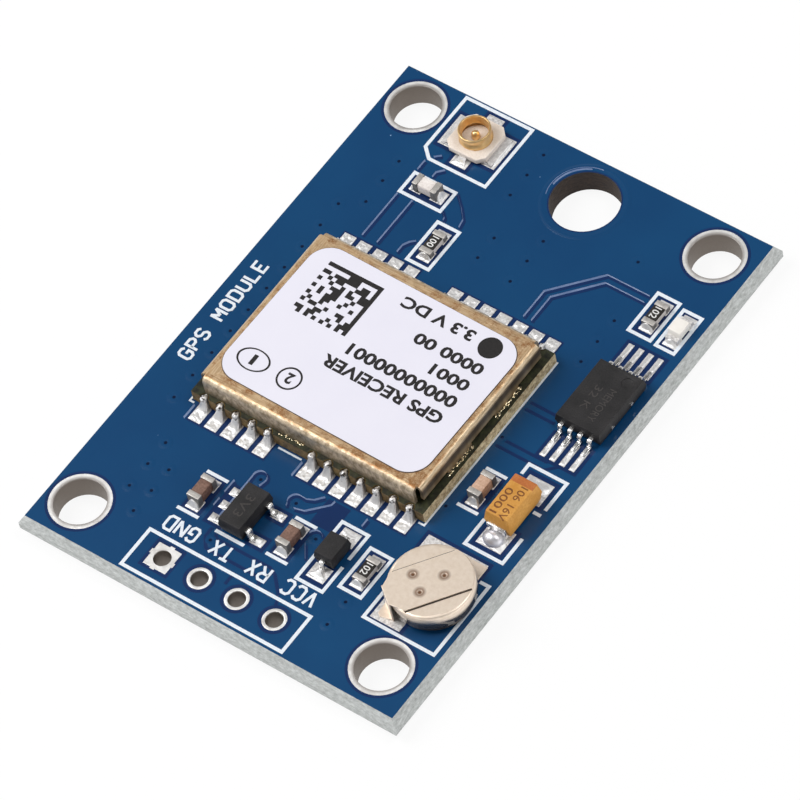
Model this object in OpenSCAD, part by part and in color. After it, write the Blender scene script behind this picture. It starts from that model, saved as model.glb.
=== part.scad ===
// Satellite positioning module: a scored circuit board that carries a shielded receiver,
// an antenna socket, a memory chip, a regulator, a backup cell and their small parts.
// X runs along the short side, Y along the long side from the pin header to the antenna socket.
// The origin is the middle of the board's underside, +Z is up, and all sizes are in millimetres.

/* [Board] */
// Board size along X over its snapped edges
board_l = 25.6; // [24:0.1:34]
// Board size along Y over its snapped edges
board_w = 36.1; // [34:0.1:46]
// Board thickness
board_t = 1.6; // [1.2:0.1:2.4]
// How far each score groove leans in from the snapped web
score_lean = 0.32; // [0.1:0.02:0.5]
// Thickness of the snapped web between the two score grooves
web_t = 0.5; // [0.3:0.05:0.8]
// Thickness of the tinned copper on both faces
copper_t = 0.04; // [0.02:0.01:0.1]
// Wall of the plated barrel inside a hole
barrel_t = 0.05; // [0.03:0.01:0.1]

/* [Holes] */
// Mounting hole radius inside its plating
mount_r = 1.5; // [1.2:0.05:1.7]
// Width of the bare ring around a mounting hole
mount_ring = 0.36; // [0.2:0.02:0.5]
// Mean distance from a mounting hole's axis to the side edges
mount_inset_x = 2.56; // [2.4:0.02:3.2]
// Mean distance from a mounting hole's axis to the end edges
mount_inset_y = 2.55; // [2.4:0.02:3.2]
// Sideways shift of the four mounting holes
mount_shift_x = -0.16; // [-0.3:0.02:0.3]
// Endways shift of the four mounting holes
mount_shift_y = 0.07; // [-0.3:0.01:0.3]
// Radius of the large bare hole
large_r = 2.04; // [1.6:0.02:2.2]
// Distance from the far edge to the large hole's axis
large_inset = 3.07; // [2.8:0.01:3.6]
// Header hole radius inside its plating
header_r = 0.51; // [0.4:0.01:0.6]
// Width of the bare ring around a header hole
header_ring = 0.26; // [0.2:0.02:0.4]
// Header hole pitch
header_pitch = 2.54; // [2:0.02:2.8]
// Distance from the near edge to the header holes
header_inset = 2.02; // [1.6:0.02:2.2]

/* [Receiver] */
// Ledge of the receiver's own board beyond the can along X
ledge_x = 0.38; // [0.3:0.02:1]
// Ledge of the receiver's own board beyond the can along Y
ledge_y = 0.33; // [0.3:0.01:0.6]
// Thickness of the receiver's own board
receiver_t = 0.8; // [0.6:0.05:1.2]
// Pitch of the edge contacts
contact_pitch = 1.1; // [1:0.02:1.15]
// Distance from the receiver's end to the middle of its first contact
contact_end = 0.9; // [0.8:0.05:1.2]
// Radius of the half hole at each contact
notch_r = 0.3; // [0.2:0.01:0.38]
// How far a land stands out from the receiver's edge
contact_reach = 1.165; // [0.8:0.01:1.3]
// How far a land runs in under the receiver
contact_tuck = 0.42; // [0.32:0.02:0.8]
// Width of a receiver land
contact_w = 0.81; // [0.5:0.01:0.9]

/* [Shield can] */
// Can size along X
can_l = 15.05; // [13.6:0.05:15.4]
// Can size along Y
can_w = 11.55; // [10.6:0.05:11.8]
// Can height
can_h = 1.25; // [1.1:0.05:2.4]
// Sheet thickness of the can
can_sheet = 0.2; // [0.1:0.02:0.3]
// Inside radius of the can's folds
can_bend_r = 0.05; // [0.02:0.01:0.3]
// Side of the square cut out at each corner of the can's sheet
can_corner = 0.36; // [0.3:0.02:0.6]
// Height of the slots in the can's long skirts
skirt_slot_h = 0.22; // [0.1:0.02:0.4]
// Margin between the label and the can's sides along X
label_margin_x = 0.51; // [0.3:0.01:1]
// Margin between the label and the can's sides along Y
label_margin_y = 0.76; // [0.5:0.01:1.2]
// Label thickness
label_t = 0.06; // [0.04:0.01:0.1]
// Radius of the label's corners
label_r = 1.4; // [0.8:0.1:2]
// How far the label was stuck on askew
label_turn = -0.9; // [-1.2:0.1:1.2]

/* [Receiver inside] */
// Receiver chip side
chip_side = 5; // [3.5:0.1:5.5]
// Receiver chip height
chip_h = 0.85; // [0.5:0.05:0.95]
// Oscillator size along X
oscillator_l = 2.5; // [1.6:0.1:3]
// Oscillator size along Y
oscillator_w = 2; // [1.2:0.1:2.4]
// Oscillator height
oscillator_h = 0.8; // [0.5:0.05:0.95]
// Filter side
filter_side = 1.4; // [1:0.1:1.8]
// Filter height
filter_h = 0.6; // [0.4:0.05:0.9]

/* [Antenna socket] */
// Side of the socket's square base
socket_side = 2.7; // [2.4:0.05:2.8]
// Cut at the base's corners
socket_cut = 0.42; // [0.2:0.02:0.6]
// Height of the base above its contact sheet
socket_base_h = 0.34; // [0.25:0.01:0.45]
// Thickness of the contact sheet
socket_sheet = 0.12; // [0.08:0.01:0.16]
// Outer radius of the mating ring
ring_r = 0.95; // [0.9:0.01:1.1]
// How far the ring flares out at its foot
ring_flare = 0.05; // [0.02:0.01:0.08]
// Radius of the ring's waist
ring_waist_r = 0.83; // [0.78:0.01:0.88]
// Wall of the ring
ring_wall = 0.1; // [0.06:0.01:0.12]
// Height of the ring's straight mating rim
ring_rim_h = 0.3; // [0.2:0.01:0.4]
// Height of the whole socket
socket_h = 1.25; // [1.15:0.01:1.5]
// Radius of the centre pin
pin_r = 0.24; // [0.15:0.01:0.3]
// How far the centre pin stays below the rim
pin_drop = 0.3; // [0.1:0.02:0.4]
// Reach of the side feet from the socket's axis
foot_reach = 1.75; // [1.6:0.01:1.9]
// Width of the side feet
foot_w = 2.1; // [1.6:0.05:2.2]
// Width of the signal tail
tail_w = 0.5; // [0.3:0.02:0.6]

/* [Chip parts] */
// Length of a chip part
chip_l = 1.6; // [1.5:0.02:1.7]
// Width of a chip part
chip_w = 0.8; // [0.7:0.02:0.86]
// Height of a ceramic capacitor
capacitor_h = 0.8; // [0.6:0.02:0.9]
// Height of the antenna feed chip
feed_h = 0.78; // [0.6:0.02:0.9]
// Height of a resistor's ceramic slab
resistor_h = 0.4; // [0.3:0.02:0.5]
// Thickness of a resistor's dark cover coat
coat_t = 0.05; // [0.03:0.01:0.08]
// Length of an end cap
cap_band = 0.34; // [0.2:0.02:0.42]
// Thickness of an end cap
cap_t = 0.04; // [0.02:0.01:0.06]
// Length over a chip part's two lands
chip_land_span = 2.25; // [2.2:0.01:2.4]
// Length of one chip land
chip_land_l = 0.8; // [0.6:0.02:0.9]
// Width of a chip land
chip_land_w = 0.86; // [0.86:0.01:0.95]
// Height of the LED's white carrier
led_base_h = 0.3; // [0.2:0.02:0.4]
// Height of the LED's clear lens
led_lens_h = 0.34; // [0.2:0.02:0.5]
// Length of the LED's clear lens
led_lens_l = 1.08; // [0.8:0.02:1.2]

/* [Moulded parts] */
// How far a moulded side leans in over half the body
draft = 0.08; // [0.02:0.01:0.1]
// Memory chip body along X
memory_l = 3; // [2.8:0.05:3.1]
// Memory chip body along Y
memory_w = 4.4; // [4.2:0.05:4.6]
// Memory chip body height
memory_h = 0.86; // [0.7:0.02:1]
// Memory chip lead pitch
memory_pitch = 0.65; // [0.6:0.01:0.68]
// Memory chip lead width
memory_lead_w = 0.26; // [0.18:0.01:0.3]
// Reach of a memory chip lead from the body
memory_reach = 1; // [0.9:0.02:1.1]
// Regulator body along X
regulator_l = 1.6; // [1.5:0.02:1.7]
// Regulator body along Y
regulator_w = 2.9; // [2.7:0.05:3]
// Regulator body height
regulator_h = 1.05; // [0.9:0.02:1.15]
// Regulator lead pitch
regulator_pitch = 0.95; // [0.9:0.01:1]
// Regulator lead width
regulator_lead_w = 0.4; // [0.3:0.02:0.5]
// Reach of a regulator lead from the body
regulator_reach = 0.62; // [0.56:0.02:0.68]
// Diode body along X
diode_l = 1.3; // [1.2:0.02:1.4]
// Diode body along Y
diode_w = 1.7; // [1.6:0.02:1.8]
// Diode body height
diode_h = 0.9; // [0.8:0.02:1]
// Diode lead width
diode_lead_w = 0.32; // [0.25:0.01:0.5]
// Reach of a diode lead from the body
diode_reach = 0.45; // [0.44:0.01:0.5]
// Gap under a leaded body
standoff = 0.1; // [0.06:0.01:0.14]
// Sheet thickness of a moulded part's leads
lead_t = 0.13; // [0.1:0.01:0.15]
// Inner radius of a lead's bends
lead_bend_r = 0.06; // [0.04:0.01:0.08]
// Tantalum capacitor length over its terminals
tantalum_l = 3.3; // [3:0.02:3.4]
// Tantalum capacitor width
tantalum_w = 1.7; // [1.4:0.02:1.8]
// Tantalum capacitor body height
tantalum_h = 1.5; // [1.3:0.02:1.6]
// How far the tantalum capacitor's sides lean in over half its body
tantalum_draft = 0.13; // [0.04:0.01:0.16]
// Width of a tantalum terminal
tantalum_lead_w = 1.2; // [1:0.02:1.3]

/* [Backup cell] */
// Cell diameter
cell_d = 4.85; // [4.6:0.05:5]
// Cell height
cell_h = 1.4; // [1.2:0.02:1.6]
// Radius of the cell's upper edge
cell_edge_r = 0.2; // [0.1:0.01:0.25]
// Height of the cell's straight wall
cell_wall_h = 0.75; // [0.5:0.01:0.85]
// Radius of the cell's foot below its crimp
cell_foot_r = 1.9; // [1.6:0.02:2.1]
// Thickness of the cell's tabs
tab_t = 0.09; // [0.06:0.01:0.12]
// Width of the top tab
tab_w = 2.65; // [2.4:0.05:3]
// Width of the top tab's folded leg
tab_leg_w = 1.35; // [1.2:0.05:1.8]
// How far the top tab's leg stands off the cell's wall
tab_clear = 0.04; // [0.02:0.01:0.1]
// Length of the top tab's foot
tab_foot_l = 0.65; // [0.4:0.01:0.7]
// Turn of the top tab about the cell's axis
tab_turn = 53.5; // [45:0.5:60]
// Width of the bottom tab
bottom_tab_w = 2.85; // [2.4:0.05:3.2]
// Reach of the bottom tab from the cell's axis
bottom_tab_reach = 2.92; // [2.7:0.01:3]

/* [Hidden] */
$fn = 48;
// Overlap that keeps a cut open at both ends
eps = 0.01;
// Level on which soldered parts sit
seat_z = board_t + copper_t;
// Half the board's size on each axis
half_l = board_l / 2;
half_w = board_w / 2;
score_h = (board_t - web_t) / 2;

// Centres of the parts, as shares of the board's size from its middle
receiver_at = [board_l * -0.0475, board_w * -0.0213];
socket_at = [board_l * -0.2309, board_w * 0.4238];
feed_at = [board_l * -0.243, board_w * 0.3083];
led_resistor_at = [board_l * 0.377, board_w * 0.2922];
led_at = [board_l * 0.4434, board_w * 0.2875];
memory_at = [board_l * 0.4117, board_w * 0.115];
tantalum_at = [board_l * 0.4121, board_w * -0.1085];
cell_at = [board_l * 0.3871, board_w * -0.2881];
regulator_at = [board_l * -0.0715, board_w * -0.32];
input_cap_at = [board_l * -0.1883, board_w * -0.3213];
output_cap_at = [board_l * 0.0449, board_w * -0.3191];
diode_at = [board_l * 0.1445, board_w * -0.3075];
cell_resistor_at = [board_l * 0.2316, board_w * -0.3066];

// Hole centres
large_at = [board_l * 0.0672, half_w - large_inset];
mount_at = [for (sx = [-1, 1], sy = [-1, 1])
    [sx * (half_l - mount_inset_x) + mount_shift_x, sy * (half_w - mount_inset_y) + mount_shift_y]];
header_mid = [board_l * -0.0172, header_inset - half_w];
header_at = [for (i = [0 : 3]) header_mid + [(i - 1.5) * header_pitch, 0]];
header_pad_r = header_r + header_ring;

// Receiver size, levels, contact places and the land row
receiver_l = can_l + 2 * ledge_x;
receiver_w = can_w + 2 * ledge_y;
receiver_top = seat_z + receiver_t;
can_top = receiver_top + can_h;
// Five contacts from the one end and seven from the other
contact_mid = receiver_l / 2 - contact_end;
contact_x = concat([for (i = [0 : 4]) i * contact_pitch - contact_mid],
    [for (i = [-6 : 0]) i * contact_pitch + contact_mid]);
contact_land_l = contact_reach + contact_tuck;
receiver_land_end = receiver_w / 2 + contact_reach;
can_fold_r = can_sheet + can_bend_r;
skirt_w = can_w - 2 * can_corner;
skirt_l = can_l - 2 * can_corner;
skirt_slot_l = skirt_w / 5;

// Places of the parts under the can, from its ends and sides
chip_end = 4.95;
small_part_end = 3.15;
oscillator_side = 3.5;
filter_side_gap = 3.1;
chip_at = [chip_end - can_l / 2, 0];
oscillator_at = [can_l / 2 - small_part_end, oscillator_side - can_w / 2];
filter_at = [can_l / 2 - small_part_end, can_w / 2 - filter_side_gap];

// The antenna resistor stands beyond the far receiver lands
land_gap = 0.6;
antenna_resistor_y = receiver_at.y + receiver_land_end + land_gap + chip_land_span / 2;
antenna_resistor_at = [board_l * -0.1473, antenna_resistor_y];
// The bulk capacitor stands between the receiver and the tantalum capacitor
bulk_from = receiver_at.x + receiver_l / 2;
bulk_to = tantalum_at.x - tantalum_w / 2;
bulk_share = 0.495;
bulk_cap_at = [bulk_from + bulk_share * (bulk_to - bulk_from), board_w * -0.0997];

resistors_at = [antenna_resistor_at, led_resistor_at, cell_resistor_at];
capacitors_at = [input_cap_at, output_cap_at, bulk_cap_at];

// Socket lands
socket_land = [0.9, 2.25];
tail_land = [1.07, 0.78];
tail_land_out = 1.95;
ring_flare_h = 0.14;
tail_gap = 0.2;
// Solder beyond the end of the tail and of each side foot
socket_joint = 0.2;
tail_reach = tail_land_out - socket_joint;
// Width of the window low in the ring
ring_window = 0.9;

// Lead shoulder: the stretch straight out of a body before the first bend
shoulder = 0.06;
memory_shoulder = 0.14;
memory_land = [0.36, 1.55];
memory_land_out = 4.25;
regulator_land = [0.55, 0.82];
regulator_land_out = 1.83;
diode_land = [1.15, 1];
diode_land_out = 1.8;
tantalum_land = [1.65, 1.5];
tantalum_land_out = 2.52;
tantalum_lead_h = tantalum_h / 2;
tantalum_tuck = 0.8;

// Cell levels, and its two lands from the cell's axis
cell_z = seat_z + tab_t;
cell_top = cell_z + cell_h;
cell_r = cell_d / 2;
cell_far_land = [3.95, 1.3];
cell_far_land_at = [-0.62, 2.4];
cell_near_land = [1.95, 1.4];
cell_near_land_at = [-1.28, -2.1];
tab_rim = 0.1;
tab_edge_r = cell_r - tab_rim;
tab_foot_tip = 0.25;
tab_leg_x = cell_r + tab_clear;
tab_fold_chamfer = (tab_w - tab_leg_w) / 2;
weld_x = 0.77;
weld_y = 0.61;
weld_shift = 0.1;
weld_at = [[weld_x, 0], [-weld_x, weld_shift + weld_y], [-weld_x, weld_shift - weld_y]];
weld_r = 0.15;
weld_depth = 0.04;

// Flat steps along the hollow face of a solder joint
fillet_steps = 6;
// Bare rim that the solder leaves at the end of a land
land_rim = 0.05;
// Share of a tall chip's end, and of a flat chip's end, that the solder climbs
tall_joint = 0.55;
flat_joint = 0.8;

// A block whose four sides lean in above and below a parting line at mid height
module moulded_block(l, w, h, lean = draft) {
    intersection() {
        rotate([90, 0, 0]) linear_extrude(w, center = true) leaning_profile(l, h, lean);
        rotate([90, 0, 90]) linear_extrude(l, center = true) leaning_profile(w, h, lean);
    }
}

module leaning_profile(l, h, lean) {
    half = l / 2;
    flat = half - lean;
    polygon([[-flat, 0], [flat, 0], [half, h / 2], [flat, h], [-flat, h], [-half, h / 2]]);
}

// A flat bar centred on X and Y, standing on its place
module slab(size) {
    translate([-size.x / 2, -size.y / 2, 0]) cube(size);
}

// Concave solder along +X: it starts at the height given and runs out to nothing
module solder_wedge(reach, height, width) {
    arc = [for (i = [0 : fillet_steps]) let(a = 90 * i / fillet_steps)
        [reach * (1 - sin(a)), height * (1 - cos(a))]];
    rotate([90, 0, 0]) linear_extrude(width, center = true) polygon(concat([[0, 0]], arc));
}

// A gull wing lead along +X from the body's side: shoulder, two bends, a drop and a foot
module gull_lead(reach, top, width, run) {
    bend_out = lead_bend_r + lead_t;
    leg_x = run + lead_bend_r;
    foot_x = leg_x + bend_out;
    rotate([90, 0, 0]) linear_extrude(width, center = true) union() {
        translate([0, top - lead_t]) square([run, lead_t]);
        translate([run, top - bend_out]) bend_quarter(0);
        translate([leg_x, bend_out]) square([lead_t, top - 2 * bend_out]);
        translate([foot_x, bend_out]) bend_quarter(180);
        translate([foot_x, 0]) square([reach - foot_x, lead_t]);
    }
}

module bend_quarter(turn) {
    rotate(turn) intersection() {
        difference() {
            circle(lead_bend_r + lead_t);
            circle(lead_bend_r);
        }
        square(lead_bend_r + lead_t);
    }
}

// Copies for both ends of a part that lies along Y
module both_ends() {
    for (turn = [90, 270]) rotate(turn) children();
}

// Board with leaning scored edges, plated holes cut to their barrels and a large bare hole
module main_board() {
    color("#1b4878") difference() {
        slab([board_l, board_w, board_t]);
        for (turn = [0, 180]) rotate(turn) {
            score_groove(half_l, board_w);
            rotate(90) score_groove(half_w, board_l);
        }
        for (p = mount_at) translate(p) plating_seat(mount_r) circle(mount_r + mount_ring);
        for (i = [0 : 3]) translate(header_at[i]) plating_seat(header_r) header_pad(i);
        translate(concat(large_at, -eps)) cylinder(r = large_r, h = board_t + 2 * eps);
    }
}

// The two score grooves along one edge
module score_groove(edge, run) {
    for (side = [0, 1]) translate([0, 0, side * board_t]) mirror([0, 0, side])
        rotate([90, 0, 0]) linear_extrude(run + 2 * eps, center = true)
            polygon([[edge - score_lean, 0], [edge, score_h], [edge + eps, score_h], [edge + eps, -eps],
                [edge - score_lean, -eps]]);
}

// Room in the board for a plated barrel and its two pads
module plating_seat(r) {
    translate([0, 0, -eps]) cylinder(r = r + barrel_t, h = board_t + 2 * eps);
    for (z = [-eps, board_t - copper_t]) translate([0, 0, z]) linear_extrude(copper_t + eps) children();
}

// A plated barrel with a pad on each face
module plated_hole(r) {
    difference() {
        union() {
            cylinder(r = r + barrel_t, h = board_t);
            for (z = [0, board_t - copper_t]) translate([0, 0, z]) linear_extrude(copper_t) children();
        }
        translate([0, 0, -eps]) cylinder(r = r, h = board_t + 2 * eps);
    }
}

// The first header pad is square, the others are round
module header_pad(i) {
    if (i == 0) square(2 * header_pad_r, center = true);
    else circle(header_pad_r);
}

module mounting_hole_plating() {
    color("#d8d8d4") for (p = mount_at) translate(p) plated_hole(mount_r) circle(mount_r + mount_ring);
}

module header_hole_plating() {
    color("#d8d8d4") for (i = [0 : 3]) translate(header_at[i]) plated_hole(header_r) header_pad(i);
}

// Places each receiver contact, with +X pointing out of the receiver's edge
module each_contact() {
    translate(receiver_at) for (side = [0, 180], x = contact_x)
        translate([x, (side == 0 ? -1 : 1) * receiver_w / 2]) rotate(side - 90) children();
}

module receiver_lands() {
    color("#d8d8d4") each_contact()
        translate([-contact_tuck, -contact_w / 2, board_t]) cube([contact_land_l, contact_w, copper_t]);
}

// A land on the board's face, centred on a place
module land(at, size) {
    translate([at.x, at.y, board_t]) slab([size.x, size.y, copper_t]);
}

// Two lands along Y, their outer ends a distance from the middle
module land_pair(at, size, out) {
    for (s = [-1, 1]) land(at + [0, s * (out - size.y / 2)], size);
}

module component_lands() {
    color("#d8d8d4") {
        for (p = concat(resistors_at, capacitors_at, [led_at]))
            land_pair(p, [chip_land_w, chip_land_l], chip_land_span / 2);
        for (s = [-1, 1]) {
            land(feed_at + [s * (chip_land_span - chip_land_l) / 2, 0], [chip_land_l, chip_land_w]);
            land(socket_at + [s * (foot_reach + socket_joint - socket_land.x / 2), 0], socket_land);
            land(socket_at + [0, s * (tail_land_out - tail_land.y / 2)], tail_land);
        }
        for (i = [-1.5 : 1.5]) land_pair(memory_at + [i * memory_pitch, 0], memory_land, memory_land_out);
        for (i = [-1 : 1]) regulator_one_land(-1, i);
        for (i = [-1, 1]) regulator_one_land(1, i);
        land_pair(diode_at, diode_land, diode_land_out);
        land_pair(tantalum_at, tantalum_land, tantalum_land_out);
        land(cell_at + cell_far_land_at, cell_far_land);
        land(cell_at + cell_near_land_at, cell_near_land);
    }
}

module regulator_one_land(side, i) {
    land(regulator_at + [side * (regulator_land_out - regulator_land.y / 2), i * regulator_pitch],
        [regulator_land.y, regulator_land.x]);
}

// Receiver: a small board with a half hole at each contact
module receiver_board() {
    color("#5d6238") difference() {
        translate([receiver_at.x, receiver_at.y, seat_z]) slab([receiver_l, receiver_w, receiver_t]);
        each_contact() translate([0, 0, seat_z - eps]) cylinder(r = notch_r, h = receiver_t + 2 * eps);
    }
}

// Plating that lines each half hole
module receiver_contacts() {
    color("#c9a24a") each_contact() translate([0, 0, seat_z]) difference() {
        cylinder(r = notch_r, h = receiver_t);
        translate([0, 0, -eps]) cylinder(r = notch_r - barrel_t, h = receiver_t + 2 * eps);
        translate([0, -notch_r - eps, -eps]) cube([notch_r + eps, 2 * (notch_r + eps), receiver_t + 2 * eps]);
    }
}

// Solder that fills each half hole and slopes down over its land
module receiver_solder() {
    foot = contact_reach - land_rim;
    tip_w = notch_r;
    color("#dcdcd8") each_contact() translate([0, 0, seat_z]) {
        intersection() {
            cylinder(r = notch_r - barrel_t, h = receiver_t);
            translate([-notch_r, -notch_r, 0]) cube([notch_r, 2 * notch_r, receiver_t]);
        }
        intersection() {
            solder_wedge(foot, receiver_t, contact_w);
            linear_extrude(receiver_t)
                polygon([[0, -tip_w], [foot, -contact_w / 2], [foot, contact_w / 2], [0, tip_w]]);
        }
    }
}

// Half section of folded sheet: flat top, fold and skirt, on the outside of the given size
module folded_sheet(size, run) {
    half = size / 2;
    rotate([90, 0, 0]) linear_extrude(run, center = true) for (side = [0, 1]) mirror([side, 0]) {
        translate([0, can_h - can_sheet]) square([half - can_fold_r, can_sheet]);
        translate([half - can_fold_r, can_h - can_fold_r]) intersection() {
            difference() {
                circle(can_fold_r);
                circle(can_fold_r - can_sheet);
            }
            square(can_fold_r);
        }
        translate([half - can_sheet, 0]) square([can_sheet, can_h - can_fold_r]);
    }
}

// Shield can folded from sheet: open corners, and slots along its long skirts between soldered feet
module receiver_can() {
    color("#9a7d55") translate([receiver_at.x, receiver_at.y, receiver_top]) difference() {
        union() {
            folded_sheet(can_l, skirt_w);
            rotate(90) folded_sheet(can_w, skirt_l);
        }
        for (i = [-2, 0, 2]) translate([0, i * skirt_slot_l, -eps])
            slab([can_l + 2 * eps, skirt_slot_l, skirt_slot_h + eps]);
    }
}

// Label with round corners on the can's flat top
module receiver_label() {
    label_l = can_l - 2 * label_margin_x;
    label_w = can_w - 2 * label_margin_y;
    inner = [label_l - 2 * label_r, label_w - 2 * label_r];
    color("#ece9f3") translate([receiver_at.x, receiver_at.y, can_top]) rotate(label_turn)
        linear_extrude(label_t) union() {
            square([inner.x, label_w], center = true);
            square([label_l, inner.y], center = true);
            for (sx = [-1, 1], sy = [-1, 1]) translate([sx * inner.x / 2, sy * inner.y / 2]) circle(label_r);
        }
}

// The three main parts under the can
module receiver_chip() {
    color("#26282c") translate(concat(receiver_at + chip_at, receiver_top))
        slab([chip_side, chip_side, chip_h]);
}

module receiver_oscillator() {
    color("#b9b4a4") translate(concat(receiver_at + oscillator_at, receiver_top))
        slab([oscillator_l, oscillator_w, oscillator_h]);
}

module receiver_filter() {
    color("#3a3a3c") translate(concat(receiver_at + filter_at, receiver_top))
        slab([filter_side, filter_side, filter_h]);
}

// The ring's drawn section, from its flared foot up to the straight rim
module ring_section() {
    rim_z = socket_h - ring_rim_h;
    flare_z = socket_sheet + socket_base_h + ring_flare_h;
    neck_z = (flare_z + rim_z) / 2;
    foot_r = ring_r + ring_flare;
    inner_r = ring_r - ring_wall;
    inner_waist_r = ring_waist_r - ring_wall;
    polygon([[foot_r, 0], [ring_r, flare_z], [ring_waist_r, neck_z], [ring_r, rim_z],
        [ring_r, socket_h], [inner_r, socket_h], [inner_r, rim_z], [inner_waist_r, neck_z],
        [inner_r, flare_z], [foot_r - ring_wall, 0]]);
}

// The drawn ring with the window in front through which the base's middle is moulded
module drawn_ring() {
    difference() {
        rotate_extrude() ring_section();
        translate([-ring_window / 2, -2 * ring_r, -eps])
            cube([ring_window, 2 * ring_r, socket_sheet + socket_base_h + eps]);
    }
}

// Square base with cut corners, moulded round the ring's lower end and the pin
module antenna_socket_base() {
    half = socket_side / 2;
    flat = half - socket_cut;
    color("#ece3d6") translate([socket_at.x, socket_at.y, seat_z]) difference() {
        translate([0, 0, socket_sheet]) linear_extrude(socket_base_h)
            polygon([[-half, -flat], [-flat, -half], [flat, -half], [half, -flat],
                [half, flat], [flat, half], [-flat, half], [-half, flat]]);
        drawn_ring();
        cylinder(r = pin_r, h = socket_h);
    }
}

// Outer contact: a drawn ring on a sheet with two wide side feet, open in front for the signal tail
module antenna_socket_ring() {
    open_w = 2 * (pin_r + tail_gap);
    color("#c9953a") translate([socket_at.x, socket_at.y, seat_z]) {
        drawn_ring();
        difference() {
            slab([2 * foot_reach, foot_w, socket_sheet]);
            translate([-open_w / 2, -foot_w, -eps])
                cube([open_w, foot_w + open_w / 2, socket_sheet + 2 * eps]);
        }
    }
}

// Centre contact: a pin with a round tip, and the signal tail that runs out under the base
module antenna_socket_pin() {
    pin_top = socket_h - pin_drop;
    color("#c9953a") translate([socket_at.x, socket_at.y, seat_z]) {
        cylinder(r = pin_r, h = pin_top - pin_r);
        translate([0, 0, pin_top - pin_r]) sphere(pin_r);
        translate([-tail_w / 2, -tail_reach, 0]) cube([tail_w, tail_reach, socket_sheet]);
    }
}

// Solder at the ends of the signal tail and of the two side feet
module antenna_socket_solder() {
    reach = socket_joint - land_rim;
    color("#dcdcd8") translate([socket_at.x, socket_at.y, seat_z]) {
        translate([0, -tail_reach, 0]) rotate(-90)
            solder_wedge(reach, socket_sheet, tail_land.x - 2 * land_rim);
        for (turn = [0, 180]) rotate(turn) translate([foot_reach, 0, 0])
            solder_wedge(reach, socket_sheet, foot_w);
    }
}

// A chip body inside its two end caps, lying along X
module chip_core(h) {
    translate([0, 0, seat_z + cap_t]) slab([chip_l - 2 * cap_t, chip_w - 2 * cap_t, h - 2 * cap_t]);
}

// Two end caps that wrap five sides of a chip's ends
module chip_caps(h) {
    difference() {
        translate([0, 0, seat_z]) slab([chip_l, chip_w, h]);
        chip_core(h);
        translate([0, 0, seat_z - eps]) slab([chip_l - 2 * cap_band, chip_w + 2 * eps, h + 2 * eps]);
    }
}

// Solder against both ends of a chip part that lies along X
module chip_joint(h) {
    for (turn = [0, 180]) rotate(turn) translate([chip_l / 2, 0, seat_z])
        solder_wedge((chip_land_span - chip_l) / 2 - land_rim, h, chip_w);
}

module feed_chip_body() {
    color("#e6ded8") translate(feed_at) chip_core(feed_h);
}

module feed_chip_caps() {
    color("#cfcdc8") translate(feed_at) chip_caps(feed_h);
}

module capacitor_bodies() {
    color("#8a5c47") for (p = capacitors_at) translate(p) rotate(90) chip_core(capacitor_h);
}

module capacitor_caps() {
    color("#d2cfc8") for (p = capacitors_at) translate(p) rotate(90) chip_caps(capacitor_h);
}

// Thick film resistors: a ceramic slab, a dark cover coat on top and wrapped end caps
module resistor_slabs() {
    color("#d5d0c4") for (p = resistors_at) translate(p) rotate(90) chip_core(resistor_h);
}

module resistor_coats() {
    color("#2a2622") for (p = resistors_at) translate([p.x, p.y, seat_z + resistor_h - cap_t])
        slab([chip_w - 2 * cap_t, chip_l - 2 * cap_band, coat_t]);
}

module resistor_caps() {
    color("#d2cfc8") for (p = resistors_at) translate(p) rotate(90) chip_caps(resistor_h);
}

// LED: a white carrier with two wrapped contacts under a clear lens
module led_carrier() {
    color("#efeee6") translate(led_at) rotate(90) chip_core(led_base_h);
}

module led_contacts() {
    color("#d6d2c4") translate(led_at) rotate(90) chip_caps(led_base_h);
}

module led_lens() {
    lens_z = seat_z + led_base_h;
    band_gap = chip_l - 2 * cap_band;
    color("#f1efe4") translate([led_at.x, led_at.y, 0]) rotate(90) {
        translate([0, 0, lens_z]) rotate([90, 0, 0]) linear_extrude(chip_w, center = true)
            polygon([[-led_lens_l / 2, 0], [led_lens_l / 2, 0], [led_lens_l / 2 - draft, led_lens_h],
                [draft - led_lens_l / 2, led_lens_h]]);
        translate([0, 0, lens_z - cap_t]) slab([band_gap, chip_w - 2 * cap_t, cap_t]);
    }
}

module chip_solder() {
    color("#dcdcd8") {
        translate(feed_at) chip_joint(feed_h * tall_joint);
        for (p = capacitors_at) translate(p) rotate(90) chip_joint(capacitor_h * tall_joint);
        for (p = resistors_at) translate(p) rotate(90) chip_joint(resistor_h * flat_joint);
        translate(led_at) rotate(90) chip_joint(led_base_h * flat_joint);
    }
}

// Level of a leaded body's underside, and of the top of its leads
function body_z() = seat_z + standoff;
function lead_top(h) = standoff + h / 2 + lead_t / 2;

// Room for leads that leave a leaning body at mid height
module lead_seat(run) {
    translate([-draft, -run / 2, 0]) cube([draft + eps, run, lead_t]);
}

// Memory chip: four leads at each end, and a round dimple by the first
module memory_body() {
    dimple_r = 0.35;
    dimple_depth = 0.05;
    dimple_inset = 0.72;
    color("#2f2d2c") translate([memory_at.x, memory_at.y, body_z()]) difference() {
        moulded_block(memory_l, memory_w, memory_h);
        translate([memory_l / 2 - dimple_inset, memory_w / 2 - dimple_inset, memory_h - dimple_depth])
            cylinder(r = dimple_r, h = dimple_depth + eps);
        memory_lead_places() translate([0, 0, (memory_h - lead_t) / 2]) lead_seat(memory_lead_w);
    }
}

module memory_lead_places() {
    both_ends() for (i = [-1.5 : 1.5]) translate([memory_w / 2, i * memory_pitch, 0]) children();
}

module memory_leads() {
    color("#cfcdc8") translate([memory_at.x, memory_at.y, seat_z]) memory_lead_places()
        seated_lead(memory_reach, memory_h, memory_lead_w, memory_shoulder);
}

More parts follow.
